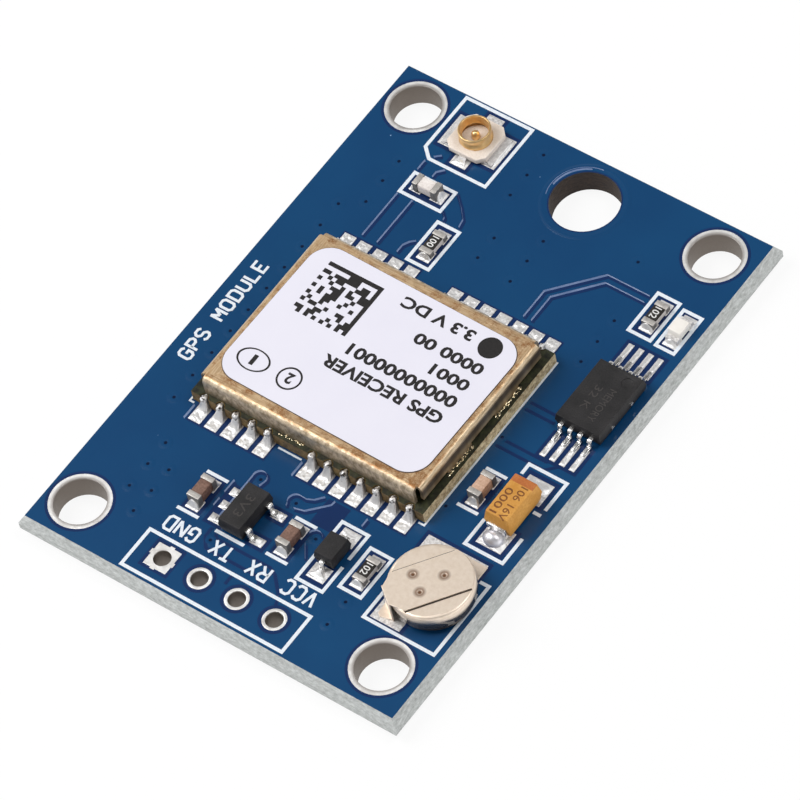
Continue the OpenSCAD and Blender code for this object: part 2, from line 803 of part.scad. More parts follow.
// A gull wing lead with the root that the body holds
module seated_lead(reach, h, width, run) {
    gull_lead(reach, lead_top(h), width, run);
    translate([-draft, -width / 2, lead_top(h) - lead_t]) cube([draft, width, lead_t]);
}

// Solder from the end of a lead's foot out over its land
module memory_solder() {
    reach = memory_land_out - memory_w / 2 - memory_reach - land_rim;
    color("#dcdcd8") translate([memory_at.x, memory_at.y, seat_z]) memory_lead_places()
        translate([memory_reach, 0, 0]) solder_wedge(reach, lead_t, memory_lead_w);
}

// Regulator: three leads on one side and two on the other
module regulator_lead_places() {
    for (i = [-1 : 1]) translate([-regulator_l / 2, i * regulator_pitch, 0]) rotate(180) children();
    for (i = [-1, 1]) translate([regulator_l / 2, i * regulator_pitch, 0]) children();
}

module regulator_body() {
    color("#2b2a29") translate([regulator_at.x, regulator_at.y, body_z()]) difference() {
        moulded_block(regulator_l, regulator_w, regulator_h);
        regulator_lead_places() translate([0, 0, (regulator_h - lead_t) / 2]) lead_seat(regulator_lead_w);
    }
}

module regulator_leads() {
    color("#cfcdc8") translate([regulator_at.x, regulator_at.y, seat_z]) regulator_lead_places()
        seated_lead(regulator_reach, regulator_h, regulator_lead_w, shoulder);
}

module regulator_solder() {
    reach = regulator_land_out - regulator_l / 2 - regulator_reach - land_rim;
    color("#dcdcd8") translate([regulator_at.x, regulator_at.y, seat_z]) regulator_lead_places()
        translate([regulator_reach, 0, 0]) solder_wedge(reach, lead_t, regulator_lead_w);
}

// Diode: a lead at each end
module diode_lead_places() {
    both_ends() translate([diode_w / 2, 0, 0]) children();
}

module diode_body() {
    color("#2b2725") translate([diode_at.x, diode_at.y, body_z()]) difference() {
        moulded_block(diode_l, diode_w, diode_h);
        diode_lead_places() translate([0, 0, (diode_h - lead_t) / 2]) lead_seat(diode_lead_w);
    }
}

module diode_leads() {
    color("#cfcdc8") translate([diode_at.x, diode_at.y, seat_z]) diode_lead_places()
        seated_lead(diode_reach, diode_h, diode_lead_w, shoulder);
}

module diode_solder() {
    reach = diode_land_out - diode_w / 2 - diode_reach - land_rim;
    color("#dcdcd8") translate([diode_at.x, diode_at.y, seat_z]) diode_lead_places()
        translate([diode_reach, 0, 0]) solder_wedge(reach, lead_t, diode_lead_w);
}

// Tantalum capacitor: a yellow moulded body on two strips folded under its ends
module tantalum_body() {
    root_x = tantalum_l / 2 - lead_t - tantalum_draft;
    color("#d99a2b") translate([tantalum_at.x, tantalum_at.y, seat_z + lead_t]) difference() {
        moulded_block(tantalum_w, tantalum_l - 2 * lead_t, tantalum_h, tantalum_draft);
        both_ends() translate([root_x, -tantalum_lead_w / 2, -eps])
            cube([tantalum_draft + eps, tantalum_lead_w, tantalum_lead_h + eps]);
    }
}

module tantalum_leads() {
    reach = tantalum_l / 2;
    root_t = lead_t + tantalum_draft;
    color("#cfcdc8") translate([tantalum_at.x, tantalum_at.y, seat_z]) both_ends() {
        translate([reach - tantalum_tuck, -tantalum_lead_w / 2, 0])
            cube([tantalum_tuck, tantalum_lead_w, lead_t]);
        translate([reach - root_t, -tantalum_lead_w / 2, 0])
            cube([root_t, tantalum_lead_w, lead_t + tantalum_lead_h]);
    }
}

module tantalum_solder() {
    reach = tantalum_land_out - tantalum_l / 2 - land_rim;
    color("#dcdcd8") translate([tantalum_at.x, tantalum_at.y, seat_z]) both_ends()
        translate([tantalum_l / 2, 0, 0]) solder_wedge(reach, tantalum_lead_h, tantalum_lead_w);
}

// Backup cell: a closed cup with a round upper edge, crimped in below its straight wall
module cell() {
    crimp_z = cell_h - cell_edge_r - cell_wall_h;
    color("#e6d6bd") translate([cell_at.x, cell_at.y, cell_z]) rotate_extrude() union() {
        square([cell_r - cell_edge_r, cell_h]);
        intersection() {
            translate([cell_r - cell_edge_r, cell_h - cell_edge_r]) circle(cell_edge_r);
            square([cell_r, cell_h]);
        }
        translate([0, crimp_z]) square([cell_r, cell_wall_h]);
        polygon([[0, 0], [cell_foot_r, 0], [cell_r, crimp_z], [0, crimp_z]]);
    }
}

// Top tab: a strip welded across the cell, folded down its side to a tapered foot on the near land
module cell_top_tab() {
    top = cell_h + 2 * tab_t;
    half_tab = tab_w / 2;
    half_leg = tab_leg_w / 2;
    taper_x = tab_fold_chamfer - tab_leg_x;
    foot_x = -tab_leg_x - tab_foot_l;
    color("#eadcc4") translate([cell_at.x, cell_at.y, seat_z]) rotate(tab_turn) difference() {
        union() {
            translate([0, 0, top - tab_t]) linear_extrude(tab_t) union() {
                intersection() {
                    circle(tab_edge_r);
                    translate([-cell_r, -half_tab]) square([cell_d, tab_w]);
                }
                polygon([[0, -half_tab], [0, half_tab], [taper_x, half_tab], [-tab_leg_x, half_leg],
                    [-tab_leg_x, -half_leg], [taper_x, -half_tab]]);
            }
            translate([-tab_leg_x - tab_t, -half_leg, 0]) cube([tab_t, tab_leg_w, top]);
            linear_extrude(tab_t) polygon([[-tab_leg_x, -half_leg], [-tab_leg_x, half_leg],
                [foot_x, tab_foot_tip / 2], [foot_x, -tab_foot_tip / 2]]);
        }
        for (p = weld_at) translate([p.x, p.y, top - weld_depth]) cylinder(r = weld_r, h = weld_depth + eps);
    }
}

// Bottom tab: a strip under the cell that runs out to the far land
module cell_bottom_tab() {
    color("#eadcc4") translate([cell_at.x, cell_at.y, seat_z]) linear_extrude(tab_t) union() {
        circle(bottom_tab_w / 2);
        translate([-bottom_tab_w / 2, 0]) square([bottom_tab_w, bottom_tab_reach]);
    }
}

main_board();
mounting_hole_plating();
header_hole_plating();
receiver_lands();
component_lands();
receiver_board();
receiver_contacts();
receiver_solder();
receiver_can();
receiver_label();
receiver_chip();
receiver_oscillator();
receiver_filter();
antenna_socket_base();
antenna_socket_ring();
antenna_socket_pin();
antenna_socket_solder();
feed_chip_body();
feed_chip_caps();
resistor_slabs();
resistor_coats();
resistor_caps();
capacitor_bodies();
capacitor_caps();
led_carrier();
led_lens();
led_contacts();
chip_solder();
memory_body();
memory_leads();
memory_solder();
regulator_body();
regulator_leads();
regulator_solder();
diode_body();
diode_leads();
diode_solder();
tantalum_body();
tantalum_leads();
tantalum_solder();
cell();
cell_top_tab();
cell_bottom_tab();
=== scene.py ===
from math import cos, pi, radians, sin, sqrt
from random import Random

import bmesh
import bpy
from mathutils import Matrix, Vector, noise


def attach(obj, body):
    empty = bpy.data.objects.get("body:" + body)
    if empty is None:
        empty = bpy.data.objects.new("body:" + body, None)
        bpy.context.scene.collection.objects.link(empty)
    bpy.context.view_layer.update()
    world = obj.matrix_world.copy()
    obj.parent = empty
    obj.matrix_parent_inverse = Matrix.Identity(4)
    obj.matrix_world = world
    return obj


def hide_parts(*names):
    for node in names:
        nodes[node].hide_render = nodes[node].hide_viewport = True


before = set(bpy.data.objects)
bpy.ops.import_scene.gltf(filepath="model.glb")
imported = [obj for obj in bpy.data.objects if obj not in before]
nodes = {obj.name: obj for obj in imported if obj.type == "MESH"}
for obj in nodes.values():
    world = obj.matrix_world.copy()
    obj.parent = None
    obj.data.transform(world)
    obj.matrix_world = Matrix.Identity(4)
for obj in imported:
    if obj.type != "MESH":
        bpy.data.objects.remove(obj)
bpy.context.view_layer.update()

# Circuit board: glass cloth in epoxy, 1.6 mm thick, flooded with copper under a glossy blue solder mask.
# It was snapped from its panel along scored lines, so its edges are bare cut glass, grey white and
# streaked along the cloth. The large hole is drilled without plating and shows dark laminate.
MM = 0.001
BOARD_TOP = 1.6
LARGE_HOLE = (1.72, 14.98)
LARGE_HOLE_R = 2.04


def linear(code):
    """Linear colour of an sRGB hex code."""
    parts = [int(code[i:i + 2], 16) / 255 for i in (1, 3, 5)]
    return [p / 12.92 if p <= 0.04045 else ((p + 0.055) / 1.055) ** 2.4 for p in parts] + [1]


def feed(tree, made, inputs):
    """Gives a node its values: a colour by its hex code, a link by a socket or by the node it comes from."""
    for key, value in dict(inputs).items():
        if isinstance(value, str):
            value = linear(value)
        if isinstance(value, bpy.types.Node):
            value = next(out for out in value.outputs if out.enabled)
        if isinstance(value, bpy.types.NodeSocket):
            tree.links.new(value, made.inputs[key])
        else:
            made.inputs[key].default_value = value


def add(tree, kind, inputs=(), **settings):
    """Adds a node to a material, with its settings and its values or links."""
    made = tree.nodes.new("ShaderNode" + kind)
    for name, value in settings.items():
        setattr(made, name, value)
    feed(tree, made, inputs)
    return made


def finish(name, values):
    """Starts a material; gives it, its node tree, its shader and the place on the piece."""
    made = bpy.data.materials.new(name)
    made.use_nodes = True
    tree = made.node_tree
    shader = tree.nodes["Principled BSDF"]
    feed(tree, shader, values)
    return made, tree, shader, add(tree, "TexCoord").outputs["Object"]


def from_axis(tree, place, at):
    """Distance of a place from an upright axis."""
    offset = add(tree, "VectorMath", {0: place, 1: (at[0] * MM, at[1] * MM, 0)}, operation="SUBTRACT")
    flat = add(tree, "VectorMath", {0: offset, 1: (1, 1, 0)}, operation="MULTIPLY")
    return add(tree, "VectorMath", {0: flat}, operation="LENGTH")


def coat(node, made):
    """Gives a CAD node one finish."""
    nodes[node].data.materials.clear()
    nodes[node].data.materials.append(made)


# Cured mask over copper is a smooth lacquer, deep blue with slow clouds and a few dust specks; the snapped
# glass edge is matt, with streaks 0.14 mm thick along the cloth, drawn coarser than its threads to show.
blue_mask, tree, shader, spot = finish("blue_mask_on_glass_laminate", {"Specular IOR Level": 0.4})
place = add(tree, "SeparateXYZ", {0: spot})
top = add(tree, "Math", {0: place.outputs["Z"], 1: (BOARD_TOP - 0.002) * MM}, operation="GREATER_THAN")
bottom = add(tree, "Math", {0: place.outputs["Z"], 1: 0.002 * MM}, operation="LESS_THAN")
masked = add(tree, "Math", {0: top, 1: bottom}, operation="MAXIMUM")
clouds = add(tree, "TexNoise", {"Vector": spot, "Scale": 1 / (6 * MM), "Detail": 3})
lacquer = add(tree, "Mix", {0: clouds, 6: "#0A3863", 7: "#104772"}, data_type="RGBA")
dust = add(tree, "TexVoronoi", {"Vector": spot, "Scale": 1 / (1.9 * MM)})
speck = add(tree, "Math", {0: dust, 1: 0.032}, operation="LESS_THAN")
rare = add(tree, "Math", {0: dust.outputs["Color"], 1: 0.55}, operation="GREATER_THAN")
lint = add(tree, "Math", {0: speck, 1: rare}, operation="MULTIPLY")
dusty = add(tree, "Mix", {0: lint, 6: lacquer, 7: "#7FA0C4"}, data_type="RGBA")
along = add(tree, "Mapping", {"Vector": spot, "Scale": (1 / (0.36 * MM), 1 / (0.36 * MM), 1 / (0.14 * MM))})
streaks = add(tree, "TexNoise", {"Vector": along, "Scale": 1.0, "Detail": 6, "Roughness": 0.75})
glass = add(tree, "MapRange", {"Value": streaks, "From Min": 0.3, "From Max": 0.68})
edge = add(tree, "Mix", {0: glass, 6: "#949795", 7: "#D3D6D5"}, data_type="RGBA")
away = from_axis(tree, spot, LARGE_HOLE)
drilled = add(tree, "Math", {0: away, 1: (LARGE_HOLE_R + 0.02) * MM}, operation="LESS_THAN")
burr = add(tree, "Mix", {0: glass, 6: "#1F1A18", 7: "#4A3C34"}, data_type="RGBA")
bare = add(tree, "Mix", {0: drilled, 6: edge, 7: burr}, data_type="RGBA")
skin = add(tree, "Mix", {0: masked, 6: bare, 7: dusty}, data_type="RGBA")
gloss = add(tree, "MapRange", {"Value": masked, "To Min": 0.75, "To Max": 0.24})
peel = add(tree, "TexNoise", {"Vector": spot, "Scale": 1 / (0.9 * MM), "Detail": 2})
relief = add(tree, "Mix", {0: masked, 2: streaks, 3: peel})
depth = add(tree, "MapRange", {"Value": masked, "To Min": 0.5, "To Max": 0.06})
bump = add(tree, "Bump", {"Height": relief, "Strength": depth, "Distance": 0.08 * MM})
feed(tree, shader, {"Base Color": skin, "Roughness": gloss, "Normal": bump})
coat("main_board", blue_mask)


# Gaps in the copper: around every pad and hole the flooded copper is etched away, and the mask lies
# straight on the laminate there, so it looks a darker navy. It is drawn as a film a few microns thick.
MOUNT_MIDDLE = (-0.16, 0.07)
MOUNT_REACH = (10.24, 15.5)
MOUNTS = [(MOUNT_MIDDLE[0] + a * MOUNT_REACH[0], MOUNT_MIDDLE[1] + b * MOUNT_REACH[1])
          for a in (-1, 1) for b in (-1, 1)]
HEADER_PITCH = 2.54
HEADER = [(-4.25 + HEADER_PITCH * i, -16.03) for i in range(4)]
SOCKET = (-5.911, 15.299)
FEED = (-6.221, 11.13)
RESISTORS = [(-3.771, 8.226), (9.651, 10.548), (5.929, -11.068)]
CAPACITORS = [(-4.82, -11.599), (1.149, -11.52), (8.179, -3.599)]
GAP_PLATES = [
    # middle x, middle y, size x, size y of each etched field
    (-6.02, -7.47, 5.42, 1.36), (2.49, -7.47, 7.6, 1.36), (-6.02, 5.93, 5.42, 1.36), (2.49, 5.93, 7.6, 1.36),
    (*SOCKET, 4.3, 2.7), (SOCKET[0], 13.75, 1.5, 1.3), (SOCKET[0], 16.85, 1.5, 1.3), (*FEED, 2.7, 1.32),
    (*RESISTORS[0], 1.32, 2.7), (*RESISTORS[1], 1.32, 2.7), (11.3, 10.379, 1.25, 2.7),
    (10.54, 7.62, 2.75, 1.95), (10.54, 0.68, 2.75, 1.95), (10.55, -2.1, 2.1, 1.95), (10.55, -5.7, 2.1, 1.95),
    (*CAPACITORS[2], 1.3, 2.7), (*CAPACITORS[0], 1.3, 2.7), (*CAPACITORS[1], 1.3, 2.7),
    (-3.25, -11.552, 1.25, 2.85), (-0.4, -10.6, 1.25, 0.98), (-0.4, -12.5, 1.25, 0.98),
    (3.699, -9.79, 1.6, 1.45), (3.699, -12.41, 1.6, 1.45), (*RESISTORS[2], 1.3, 2.7),
    (9.29, -8.0, 4.4, 1.75), (8.63, -12.5, 2.4, 1.85), (2.0, -9.15, 1.5, 1.75),
]
MOUNT_GAP = (1.97, 1.8)
HEADER_GAP = (0.92, 0.7)
GAP_T = 0.003
# Fields that overlap differ a hair in height, so that no two faces lie in one plane.
GAP_STEP = 0.0011
PAD_GAPS = [(-0.87, 0, 0.2, 1.94), (0.87, 0, 0.2, 1.94), (0, -0.87, 1.54, 0.2), (0, 0.87, 1.54, 0.2)]


def build(bm, name, finishes, slot, *replaced):
    """Turns a bmesh in millimetres into a piece that rides on the board."""
    bmesh.ops.scale(bm, vec=(MM, MM, MM), verts=bm.verts)
    mesh = bpy.data.meshes.new(name)
    bm.to_mesh(mesh)
    bm.free()
    for made in finishes:
        mesh.materials.append(made)
    piece = bpy.data.objects.new(name, mesh)
    bpy.context.scene.collection.objects.link(piece)
    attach(piece, "root")
    if replaced:
        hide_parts(*replaced)
    return piece


def block(bm, at, size, foot, height):
    """Adds a plain box that stands at a height over the board's underside."""
    made = bmesh.ops.create_cube(bm, size=1)["verts"]
    bmesh.ops.scale(bm, vec=(size[0], size[1], height), verts=made)
    bmesh.ops.translate(bm, vec=(at[0], at[1], foot + height / 2), verts=made)


def lathe(bm, outline, at, steps):
    """Turns an outline once round an upright axis."""
    bmesh.ops.spin(bm, geom=outline, cent=(at[0], at[1], 0), axis=(0, 0, 1), angle=2 * pi, steps=steps,
                   use_merge=True)


def disc(bm, at, r, foot, height, hole=0.0):
    """Adds a flat disc, or a washer where there is a hole."""
    corners = [(hole, foot), (r, foot), (r, foot + height), (hole, foot + height)]
    dots = [bm.verts.new((at[0] + x, at[1], z)) for x, z in corners]
    edges = [bm.edges.new((dots[i], dots[(i + 1) % 4])) for i in range(4) if hole or i < 3]
    lathe(bm, dots + edges, at, 48)


def seal(bm, near):
    """Merges corners that lie together and turns every face outwards."""
    bmesh.ops.remove_doubles(bm, verts=bm.verts, dist=near)
    bmesh.ops.recalc_face_normals(bm, faces=bm.faces)


def two_tone(name, dark, pale, size, values, detail=3, gloss=None, bump=None):
    """A finish of two close colours in clouds of one size, which its gloss and its grain may follow."""
    made, tree, shader, spot = finish(name, values)
    clouds = add(tree, "TexNoise", {"Vector": spot, "Scale": 1 / (size * MM), "Detail": detail})
    tone = add(tree, "Mix", {0: clouds, 6: dark, 7: pale}, data_type="RGBA")
    feed(tree, shader, {"Base Color": tone})
    if gloss:
        satin = add(tree, "MapRange", {"Value": clouds, "To Min": gloss[0], "To Max": gloss[1]})
        feed(tree, shader, {"Roughness": satin})
    if bump:
        grain = add(tree, "Bump", {"Height": clouds, "Strength": bump[0], "Distance": bump[1] * MM})
        feed(tree, shader, {"Normal": grain})
    return made


# Mask on bare laminate: the same lacquer over brown resin, so it reads as a deep navy.
navy_mask = two_tone("blue_mask_over_bare_laminate", "#0D2650", "#14305F", 2,
                     {"Roughness": 0.32, "Specular IOR Level": 0.25})
bm = bmesh.new()
for step, (x, y, long, wide) in enumerate(GAP_PLATES):
    block(bm, (x, y), (long, wide), BOARD_TOP, GAP_T + GAP_STEP * (step % 3))
for at in MOUNTS:
    disc(bm, at, MOUNT_GAP[0], BOARD_TOP, GAP_T, MOUNT_GAP[1])
for at in HEADER[1:]:
    disc(bm, at, HEADER_GAP[0], BOARD_TOP, GAP_T, HEADER_GAP[1])
for x, y, long, wide in PAD_GAPS:
    block(bm, (HEADER[0][0] + x, HEADER[0][1] + y), (long, wide), BOARD_TOP, GAP_T)
seal(bm, 0.0001)
build(bm, "copper_gaps", [navy_mask], "board_laminate")


# Gaps beside the tracks: thin lines etched through the flooded copper part each track from it. The mask runs
# down into each line, so it shows as a navy band with a bright lip on the far side, whose pale colour is
# partly thin mask and partly a painted highlight. The lip is drawn as a ridge as high as the copper is thick,
# 0.035 mm, because the real, softer step would not show.
GAP_WIDTH = 0.19
# Lines that cross differ a hair in height as well.
LINE_STEP = 0.0012
LIP_H = 0.035
LIP_SHIFT = (-0.17, 0.115)
LIP_STEPS = [(0.1, -0.065, -LIP_H), (-0.13, 0.085, 0), (0.03, -0.02, LIP_H)]


def arc(x, y, r, start, end, count):
    """Points along an arc, angles in degrees."""
    turns = [radians(start + (end - start) * i / count) for i in range(count + 1)]
    return [(x + r * cos(t), y + r * sin(t)) for t in turns]


def strokes(name, lines, width, height, finishes, slot, soft):
    """Lines of one width, standing on the board; each line is a list of places."""
    bm = bmesh.new()
    for step, line in enumerate(lines):
        closed = line[0] == line[-1]
        dots = [bm.verts.new((x, y, BOARD_TOP)) for x, y in (line[:-1] if closed else line)]
        path = [bm.edges.new(pair) for pair in zip(dots, dots[1:] + dots[:1] if closed else dots[1:])]
        wall = bmesh.ops.extrude_edge_only(bm, edges=path)["geom"]
        raised = [g for g in wall if isinstance(g, bmesh.types.BMVert)]
        bmesh.ops.translate(bm, vec=(0, 0, height + LINE_STEP * (step % 4)), verts=raised)
    bmesh.ops.recalc_face_normals(bm, faces=bm.faces)
    piece = build(bm, name, finishes, slot)
    body = piece.modifiers.new("line width", "SOLIDIFY")
    body.thickness = width * MM
    body.offset = 0
    body.use_even_offset = True
    if soft:
        edge = piece.modifiers.new("soft edge", "BEVEL")
        edge.width = soft * MM
        edge.segments = 2
        edge.limit_method = "ANGLE"
        edge.angle_limit = radians(50)


TRACK_GAPS = [
    [(-7.58, 6.75), (-7.58, 10.1)], [(-7.58, 11.98), (-7.58, 12.72)], [(-7.3, 13.15), (-6.95, 13.45)],
    [(-6.55, 6.75), (-6.55, 10.1)], [(-6.55, 11.98), (-6.55, 12.35), (-6.2, 12.72)],
    [(-5.2, 6.8), (-5.2, 7.35), (-5.0, 7.7), (-4.72, 7.95)],
    [(-4.7, 11.8), (-3.9, 11.1), (-3.3, 10.45), (-3.2, 9.9)], [(-4.75, 10.45), (-4.3, 10.05), (-4.25, 9.85)],
    [(3.45, 6.8), (3.45, 8.8), (5.85, 11.45), (8.65, 11.45)],
    [(3.98, 6.8), (3.98, 8.65), (6.05, 10.95), (8.65, 10.95)],
    [(-3.1, -12.4), (-3.1, -9.3)] + arc(-2.7, -9.2, 0.42, 180, -20, 9) + [(-2.4, -9.65)],
    [(-0.35, -9.95)] + arc(-0.1, -9.45, 0.44, 225, 90, 7) + [(0.35, -9.03), (0.75, -8.85), (1.15, -8.4)],
    [(0.1, -9.85), (0.72, -9.7), (1.75, -8.65), (1.8, -8.35)], [(4.0, -8.35), (4.0, -8.9)],
    [(-3.8, -10.05), (-3.8, -10.95)], [(-3.8, -11.4), (-3.8, -11.95)],
    [(2.0, -11.35), (2.6, -12.15)], arc(2.2, -10.75, 0.42, 170, 30, 6),
]
FLAT_GAPS = [
    [(7.0, 2.45), (8.95, 2.45)], [(7.0, 1.95), (8.95, 1.95)],
    [(7.0, -0.3), (10.0, -0.3), (10.45, 0.05)], [(7.0, -0.8), (10.2, -0.8), (10.9, -0.1)],
    [(-2.7, -13.3), (-2.45, -13.5), (1.2, -13.5), (1.7, -13.75), (2.65, -14.7)],
    [(-3.1, -13.05), (-3.1, -13.7), (-2.6, -14.3), (0.9, -14.3), (1.35, -14.7)],
    [(-0.3, -14.95), (-0.3, -15.6)], [(2.75, -14.95), (2.9, -15.3)],
]
strokes("track_gaps", TRACK_GAPS + FLAT_GAPS, GAP_WIDTH, GAP_T + 0.0045, [navy_mask], "board_laminate", 0)
# Lips along the track gaps, two short lines, and two arcs on the far side of the large hole that paint its
# highlight crescent.
LIP_EDGES = TRACK_GAPS + [[(-8.72, -7.2), (-8.72, -8.2)], [(-1.3, -7.2), (-1.3, -8.2)],
                          arc(*LARGE_HOLE, LARGE_HOLE_R + 0.16, 200, 95, 20),
                          arc(*LARGE_HOLE, LARGE_HOLE_R + 0.06, 180, 112, 16)]
# Thin mask on a copper corner: the lacquer runs thin there and shows a paler, greyer blue; the paleness is
# also a painted highlight on the lips and on the crescent by the large hole.
thin_mask_and_painted_highlight = two_tone("blue_mask_thin_on_copper_edge_and_painted_highlight", "#31507F", "#8292B4", 0.8,
                     {"Roughness": 0.35, "Specular IOR Level": 0.4})
bm = bmesh.new()
for line in LIP_EDGES:
    dots = [bm.verts.new((x + LIP_SHIFT[0], y + LIP_SHIFT[1], BOARD_TOP + LIP_H)) for x, y in line]
    path = [bm.edges.new(pair) for pair in zip(dots, dots[1:])]
    for step in LIP_STEPS:
        made = bmesh.ops.extrude_edge_only(bm, edges=path)["geom"]
        path = [g for g in made if isinstance(g, bmesh.types.BMEdge)]
        bmesh.ops.translate(bm, vec=step, verts=[g for g in made if isinstance(g, bmesh.types.BMVert)])
bmesh.ops.remove_doubles(bm, verts=bm.verts, dist=0.0005)
bmesh.ops.holes_fill(bm, edges=[e for e in bm.edges if e.is_boundary], sides=4)
bmesh.ops.recalc_face_normals(bm, faces=bm.faces)
build(bm, "track_lips", [thin_mask_and_painted_highlight], "board_laminate")


# Mask round the large hole: the copper is etched back from the drilled edge, so the lacquer rises over its
# rim in a soft ring. The pale crescent on the far side is drawn with the lips above: partly thin mask and
# partly a painted highlight.
HOLE_RIM = [(0.012, -0.004), (0.012, 0.003), (0.08, 0.006), (0.2, 0.008), (0.28, 0.02), (0.36, 0.03),
            (0.44, 0.026), (0.6, -0.004)]
bm = bmesh.new()
dots = [bm.verts.new((LARGE_HOLE[0] + LARGE_HOLE_R + out, LARGE_HOLE[1], BOARD_TOP + rise))
        for out, rise in HOLE_RIM]
path = [bm.edges.new(pair) for pair in zip(dots, dots[1:] + dots[:1])]
lathe(bm, dots + path, LARGE_HOLE, 72)
seal(bm, 0.0005)
for face in bm.faces:
    away = face.calc_center_median().xy - Vector(LARGE_HOLE)
    face.material_index = int(away.length < LARGE_HOLE_R + HOLE_RIM[2][0])
rim = build(bm, "large_hole_rim", [blue_mask, navy_mask], "board_laminate")
rim.data.shade_smooth()
rim.data.set_sharp_from_angle(angle=radians(30))


# Via holes: small plated holes that join the copper on both faces, tented by the mask, which dips into
# each one and leaves a dimple inside a low rim; the dimple's dark middle is painted shade of the hole.
VIAS = [(-10.15, y) for y in (7.9, 6.2, 4.5, 2.85, 1.2, -0.5, -2.15, -3.85, -5.6, -7.3)] + [
    (-8.95, 12.0), (-8.95, 10.45), (-8.9, 8.8), (-2.15, 16.45), (-2.15, 14.85), (-2.15, 13.25), (-1.2, 10.4),
    (-1.2, 8.85), (1.3, 11.6), (1.3, 10.05), (1.3, 8.45), (6.65, 13.1), (7.8, 9.2), (7.8, 7.6), (7.8, 6.05),
    (7.0, -0.2), (7.0, -5.4), (6.0, -13.15), (6.0, -14.8), (-2.7, -9.2), (-0.1, -9.45),
    (2.2, -10.75), (-2.7, -13.75), (-8.7, -9.95), (-7.45, -11.28), (-8.7, -11.55), (-7.45, -12.85),
    (-8.7, -13.2), (-7.5, -14.4)]
VIA_RIM = [(0.44, 0.0), (0.36, 0.006), (0.28, 0.012), (0.22, 0.015), (0.17, 0.013), (0.1, 0.005),
           (0.0, 0.004)]
VIA_DARK_R = 0.12
# Mask sunk in a hole: the same lacquer with no copper behind it, painted nearly black as shade of the
# empty hole.
via_painted_shade = two_tone("mask_in_a_tented_hole", "#031024", "#0A1D3E", 0.2,
                    {"Roughness": 0.4, "Specular IOR Level": 0.1}, detail=2)
bm = bmesh.new()
for x, y in VIAS:
    dots = [bm.verts.new((x + r, y, BOARD_TOP + z)) for r, z in VIA_RIM]
    path = [bm.edges.new(pair) for pair in zip(dots, dots[1:])]
    lathe(bm, dots + path, (x, y), 20)
seal(bm, 0.0005)
for face in bm.faces:
    face.smooth = True
    middle = face.calc_center_median().xy
    face.material_index = int(min((middle - Vector(at)).length for at in VIAS) < VIA_DARK_R)
build(bm, "tented_vias", [blue_mask, via_painted_shade], "board_laminate")


# Plated holes: copper barrels with a pad on each face, dipped in tin. The pads are bright and slightly
# rounded over; inside, the barrel wall is painted a grey brown satin as shade in the hole, and a greyer
# band on each mounting ring by the hole is painted shade.
def softened(node, width, segments=2, sharp=25):
    """A merged copy of a CAD node in millimetres, with its sharp edges rounded."""
    bm = bmesh.new()
    bm.from_mesh(nodes[node].data)
    bmesh.ops.scale(bm, vec=(1 / MM, 1 / MM, 1 / MM), verts=bm.verts)
    bmesh.ops.remove_doubles(bm, verts=bm.verts, dist=0.0005)
    bmesh.ops.dissolve_limit(bm, angle_limit=radians(1), verts=bm.verts, edges=bm.edges)
    edges = [e for e in bm.edges if e.is_manifold and e.calc_face_angle(0) > radians(sharp)]
    if width:
        bmesh.ops.bevel(bm, geom=edges, offset=width, offset_type="OFFSET", segments=segments, profile=0.5,
                        affect="EDGES", clamp_overlap=True, material=-1)
    return bm


def smooth(piece, angle=40):
    """Smooth shading that keeps the flats flat."""
    piece.data.shade_smooth()
    piece.data.set_sharp_from_angle(angle=radians(angle))
    even = piece.modifiers.new("flat flats", "WEIGHTED_NORMAL")
    even.keep_sharp = True


def dress(node, name, made, slot, width, segments=2, sharp=25, angle=40):
    """Puts a softened copy of a CAD node in its place, in one finish."""
    smooth(build(softened(node, width, segments, sharp), name, [made], slot, node), angle)


def grained(tree, shader, colour, grain, gloss, strength, depth):
    """Lays a colour on a finish, with a gloss and a relief that follow one grain."""
    satin = add(tree, "MapRange", {"Value": grain, "To Min": gloss[0], "To Max": gloss[1]})
    relief = add(tree, "Bump", {"Height": grain, "Strength": strength, "Distance": depth * MM})
    feed(tree, shader, {"Base Color": colour, "Roughness": satin, "Normal": relief})


# Hot tinned copper: bright metal with a fine frosty grain, 0.12 mm, and a few grey stains.
bright_tin, tree, shader, spot = finish("hot_tinned_copper", {"Metallic": 0.8})
grain = add(tree, "TexNoise", {"Vector": spot, "Scale": 1 / (0.12 * MM), "Detail": 4})
stain = add(tree, "TexNoise", {"Vector": spot, "Scale": 1 / (0.7 * MM), "Detail": 3})
tone = add(tree, "MapRange", {"Value": stain, "From Min": 0.35, "From Max": 0.65})
metal = add(tree, "Mix", {0: tone, 6: "#DAD7D4", 7: "#F4F3F1"}, data_type="RGBA")
place = add(tree, "SeparateXYZ", {0: spot})
# Painted shade: below the pad the barrel wall is painted a grey brown, as the shade inside the hole.
painted_hole_shade_fade = add(tree, "MapRange", {"Value": place.outputs["Z"], "From Min": (BOARD_TOP - 0.12) * MM,
             "From Max": (BOARD_TOP - 0.03) * MM})
# Distance from the nearest mounting hole: the four stand evenly about one point.
middle = add(tree, "VectorMath", {0: spot, 1: (MOUNT_MIDDLE[0] * MM, MOUNT_MIDDLE[1] * MM, 0)},
             operation="SUBTRACT")
corner = add(tree, "VectorMath", {0: middle}, operation="ABSOLUTE")
away = from_axis(tree, corner, MOUNT_REACH)
